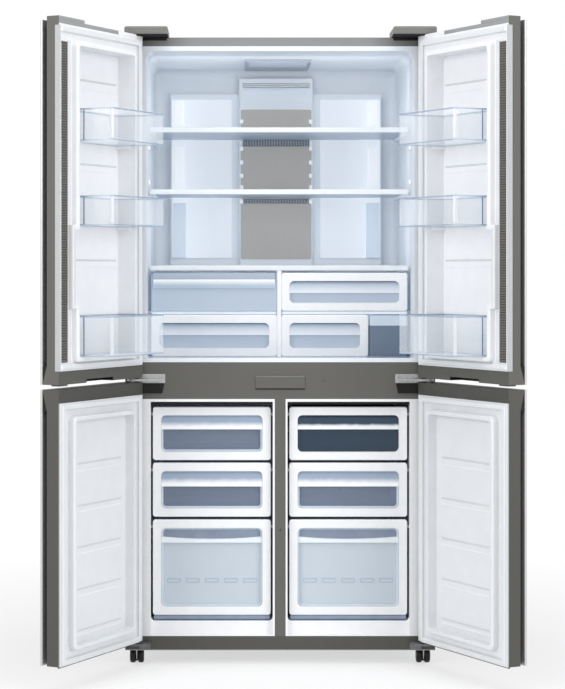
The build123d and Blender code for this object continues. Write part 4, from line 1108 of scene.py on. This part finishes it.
# Pale enamel along the tops of the upper doors, and the liners' flanges beside the hinges
door_ends = {"upper": (863.0, 1805.8), "lower": (72.4, 777.0)}
for side, sign in side_signs.items():
    put = swung(sign)
    for name, low, high, finish in (
        ("door_top_strip", (3.4, -12.4, 1795.0), (312.0, -11.4, 1805.6), pale_enamel),
        ("door_top_flange", (3.4, -12.6, 1789.6), (425.0, -11.6, 1795.4), formed_white),
        ("door_top_end", (311.0, -12.6, 1795.2), (425.0, -11.4, 1805.6), formed_white),
        ("door_cap_strip", (3.4, -12.4, 1805.8), (132.6, -11.4, 1814.6), pale_enamel),
    ):
        rounded_bar(f"{side}_{name}", low, high, 0.4, finish, f"{side}_upper_door", "frame_paint", put)
    for level, (low, high) in door_ends.items():
        finish = formed_white if level == "upper" else shaded_formed_white
        rounded_bar(
            f"{side}_{level}_hinge_flange", (424.6, -12.8, low), (445.4, -11.6, high), 0.5, finish,
            f"{side}_{level}_door", "liner_white", put,
        )
    # A black strip along each lower door's bottom edge: partly the door's dark bottom edge and partly
    # painted shadow below it
    rounded_bar(
        f"{side}_lower_door_foot", (3.4, -16.0, 69.0), (380.0, -11.0, 74.6), 0.6, black_coat_and_shade,
        f"{side}_lower_door", "frame_paint", put,
    )

# Moulded grooves across the doors' liners: a painted shade along the upper edge and a bright bead along
# the lower one, whiter than the liner on the lower doors as a painted highlight
upper_grooves = ((1657.5, 1634.0), (1426.0, 1410.5), (1161.0, 1143.5))
lower_grooves = ((607.5, 587.0), (492.8, 476.6), (380.4, 362.0), (266.0, 247.0), (154.0, 142.0))
groove_sets = {
    "upper": (80.0, 358.0, upper_grooves, formed_white),
    "lower": (92.0, 330.0, lower_grooves, moulded_white),
}
for side, sign in side_signs.items():
    put = swung(sign)
    for level, (x0, x1, grooves, bright) in groove_sets.items():
        floor_y = liner_floors[level]
        for number, (top, foot) in enumerate(grooves):
            for name, z, half, proud, finish in (
                ("top", top, 2.9, 0.5, groove_shade), ("foot", foot, 2.2, 1.2, bright)
            ):
                rounded_bar(
                    f"{side}_{level}_groove_{name}_{number + 1}", (x0, floor_y - 0.4, z - half),
                    (x1, floor_y + proud, z + half), 0.4, finish, f"{side}_{level}_door", "liner_white",
                    put,
                )


def turned_heads(name, places, radius, facing, material, slot, cross=True):
    """Screw heads or plugs: a domed disc, with a cross recess where it is a screw."""
    turns = 24
    points = []
    faces = []
    rings = ((1.0, 0.0), (0.97, 0.28), (0.8, 0.42), (0.45, 0.46), (0.4, 0.1 if cross else 0.48))
    for spot in places:
        base = len(points)
        for number, (share, rise) in enumerate(rings):
            for turn in range(turns):
                angle = 2 * math.pi * turn / turns
                reach = radius * share
                if cross and number >= 3:
                    reach *= 1.0 + 0.3 * math.cos(4 * angle)
                a, b = reach * math.cos(angle), reach * math.sin(angle)
                points.append(at(*facing(spot, a, b, rise * radius)))
        points.append(at(*facing(spot, 0, 0, rings[-1][1] * radius)))
        for number in range(len(rings) - 1):
            for turn in range(turns):
                low = base + number * turns
                high = low + turns
                after = (turn + 1) % turns
                faces.append((low + turn, low + after, high + after, high + turn))
        last = base + (len(rings) - 1) * turns
        for turn in range(turns):
            faces.append((last + turn, last + (turn + 1) % turns, base + len(rings) * turns))
        faces.append([base + turn for turn in range(turns)][::-1])
    piece(name, points, faces, material, "cabinet", slot)


def on_front(spot, a, b, rise):
    return spot[0] + a, spot[1] - rise, spot[2] + b


def on_back(spot, a, b, rise):
    return spot[0] - a, spot[1] + rise, spot[2] + b


def on_top(spot, a, b, rise):
    return spot[0] + a, spot[1] + b, spot[2] + rise


# Screws of the middle hinges, and the plugs beside the rail plate
plate_face = -3.0
turned_heads(
    "hinge_screws", [(sign * x, plate_face, 828.0) for sign in (-1, 1) for x in (339.0, 398.0)], 3.6,
    on_front, screw_zinc, "hinge_steel",
)
turned_heads(
    "rail_plugs", [(-125.0, 0.0, 815.0), (125.0, 0.0, 815.0)], 3.4, on_front, rail_enamel, "rail_paint",
    cross=False,
)
turned_heads("post_plug", [(0.0, 0.0, 386.0)], 2.2, on_front, black_coat_and_shade, "rail_paint", cross=False)
turned_heads(
    "cover_screws", [(sign * 384.0, 60.0, 1830.0) for sign in (-1, 1)], 4.5, on_top, screw_zinc,
    "dark_plastic",
)
# Screws round the back sheet and the louvred cover
sheet_y = 698.0
screw_x = 428.0
back_screws = [(side * screw_x, sheet_y, 330.0 + 240.0 * row) for side in (-1, 1) for row in range(7)]
back_screws += [(150.0 * column, sheet_y, 1786.0) for column in (-2, -1, 0, 1, 2)]
back_screws += [(side * x, sheet_y, 285.0) for side in (-1, 1) for x in (30.0, 230.0, screw_x)]
back_screws += [(side * screw_x, sheet_y, 60.0) for side in (-1, 1)]
turned_heads("back_screws", back_screws, 4.0, on_back, screw_zinc, "galvanised")

# A black block fills the gap between a front caster's wheels as painted shade, and its fork shows there
# as a wedge
caster_x = 413.0
caster_gap = 2.8
for side, sign in side_signs.items():
    middle = sign * caster_x
    low = (middle - caster_gap, 13.0, 7.0)
    high = (middle + caster_gap, 44.0, 41.0)
    rounded_bar(f"{side}_caster_gap_shade", low, high, 1.0, black_nylon, "cabinet", "galvanised")
    rows = []
    for level, half, near in ((46.0, 2.6, 4.0), (30.0, 2.3, 3.0), (18.0, 1.6, 5.0), (12.0, 0.6, 9.0)):
        rows.append(
            [
                at(middle - half, near + 5, level), at(middle - half * 0.6, near, level),
                at(middle + half * 0.6, near, level), at(middle + half, near + 5, level),
            ]
        )
    points, faces = strip_between(rows, False, True)
    piece(f"{side}_caster_fork_edge", points, faces, zinc_steel, "cabinet", "galvanised")

# The camera
camera_data = bpy.data.cameras.new("camera")
camera_data.sensor_fit = "HORIZONTAL"
camera_data.sensor_width = 36.0
camera_data.lens = focal_pixels * 36.0 / photo_width
camera_data.shift_x = (photo_width / 2 - principal_x) / photo_width
camera_data.shift_y = (principal_y - photo_height / 2) / photo_width
camera = bpy.data.objects.new("camera", camera_data)
camera.location = (camera_x, camera_y, camera_z)
camera.rotation_euler = (math.radians(90), 0, 0)
bpy.context.scene.collection.objects.link(camera)
bpy.context.scene.camera = camera


def seen_directly(tree):
    """One where a camera, glossy or transmission ray looks, and nought for light."""
    path = add(tree, "LightPath")
    first = add(
        tree, "Math", {"operation": "MAXIMUM"},
        {0: path.outputs["Is Camera Ray"], 1: path.outputs["Is Glossy Ray"]},
    )
    both = add(
        tree, "Math", {"operation": "MAXIMUM"},
        {0: first.outputs[0], 1: path.outputs["Is Transmission Ray"]},
    )
    return both.outputs[0]


# The room: white to look at, and a little weaker as light
sky_light = 0.62
world = bpy.data.worlds.new("studio")
bpy.context.scene.world = world
world.use_nodes = True
world.node_tree.nodes.clear()
strength = add(
    world.node_tree, "MapRange", {"To Min": sky_light, "To Max": 1.0},
    {"Value": seen_directly(world.node_tree)},
)
background = add(
    world.node_tree, "Background", {"Color": linear("#ffffff")},
    {"Strength": strength.outputs["Result"]},
)
add(world.node_tree, "OutputWorld", links={"Surface": background.outputs["Background"]})


def soft_lamp(name, place, target, size, power, hidden=False, height=None):
    data = bpy.data.lights.new(name, "AREA")
    data.shape = "RECTANGLE"
    data.size = size
    data.size_y = height or size
    data.energy = power
    lamp = bpy.data.objects.new(name, data)
    lamp.visible_camera = False
    lamp.visible_glossy = not hidden
    lamp.visible_transmission = not hidden
    lamp.location = place
    lamp.rotation_euler = (Vector(target) - Vector(place)).to_track_quat("-Z", "Y").to_euler()
    bpy.context.scene.collection.objects.link(lamp)


soft_lamp("lamp_left", (-3.9, -4.0, 2.4), (0, 0, 1.0), 2.2, 105)
soft_lamp("lamp_right", (3.9, -4.0, 2.4), (0, 0, 1.0), 2.2, 105)
soft_lamp("lamp_above", (0, -1.5, 4.6), (0, 0, 0.9), 2.6, 50)
# The fridge's own lamps: an even glow at its opening and one behind each row of shelf trims,
# which nothing mirrors
soft_lamp("lamp_fridge", at(0, -5, 1460), at(0, 100, 1460), 0.74, 0.3, True, 0.56)
for number, (low, high, power) in enumerate(((1160, 1362, 0.6), (1388, 1545, 0.3), (1570, 1750, 0.5))):
    spot = at(0, 135, (low + high) / 2)
    soft_lamp(
        f"lamp_shelf_{number + 1}", spot, spot + Vector((0, 1, 0)), 0.72, power, True, (high - low) * MM
    )
# A little of it falls behind the drawers' fronts, one lamp for each row
for number, level in enumerate((1118, 994)):
    spot = at(0, 150, level)
    soft_lamp(f"lamp_drawers_{number + 1}", spot, spot + Vector((0, 1, -0.15)), 0.7, 0.2, True, 0.012)
# Its lamp columns, which light the walls and shelves from the back corners
for sign in (-1, 1):
    spot = at(sign * 300.0, 540.0, 1450.0)
    soft_lamp(
        f"lamp_column_{sign + 2}", spot, spot + Vector((-sign * 0.25, -1, 0)), 0.05, 0.15, True, 0.55
    )


def studio_floor():
    """A pale floor that takes a soft shadow near the object and looks white further off."""
    material, tree, output = blank("pale_floor")
    spot = add(tree, "TexCoord")
    far = add(tree, "VectorMath", {"operation": "LENGTH"}, {0: spot.outputs["Object"]})
    fade = add(
        tree, "MapRange", {"From Min": 0.5, "From Max": 2.2, "To Min": 0.6, "To Max": 1.0},
        {"Value": far.outputs["Value"]},
    )
    share = add(
        tree, "Math", {"operation": "MULTIPLY"}, {0: fade.outputs["Result"], 1: seen_directly(tree)}
    )
    glow = add(tree, "Emission", {"Color": linear("#ffffff")})
    matt = add(tree, "BsdfDiffuse", {"Color": linear("#f4f4f4")})
    shader = add(
        tree, "MixShader",
        links={"Fac": share.outputs[0], 1: matt.outputs["BSDF"], 2: glow.outputs["Emission"]},
    )
    tree.links.new(shader.outputs["Shader"], output.inputs["Surface"])
    data = bpy.data.meshes.new("floor")
    reach = 400.0
    corners = [(-reach, -reach, 0), (reach, -reach, 0), (reach, reach, 0), (-reach, reach, 0)]
    data.from_pydata(corners, [], [(0, 1, 2, 3)])
    data.materials.append(material)
    floor = bpy.data.objects.new("floor", data)
    bpy.context.scene.collection.objects.link(floor)


studio_floor()

scene = bpy.context.scene
scene.view_settings.view_transform = "Standard"
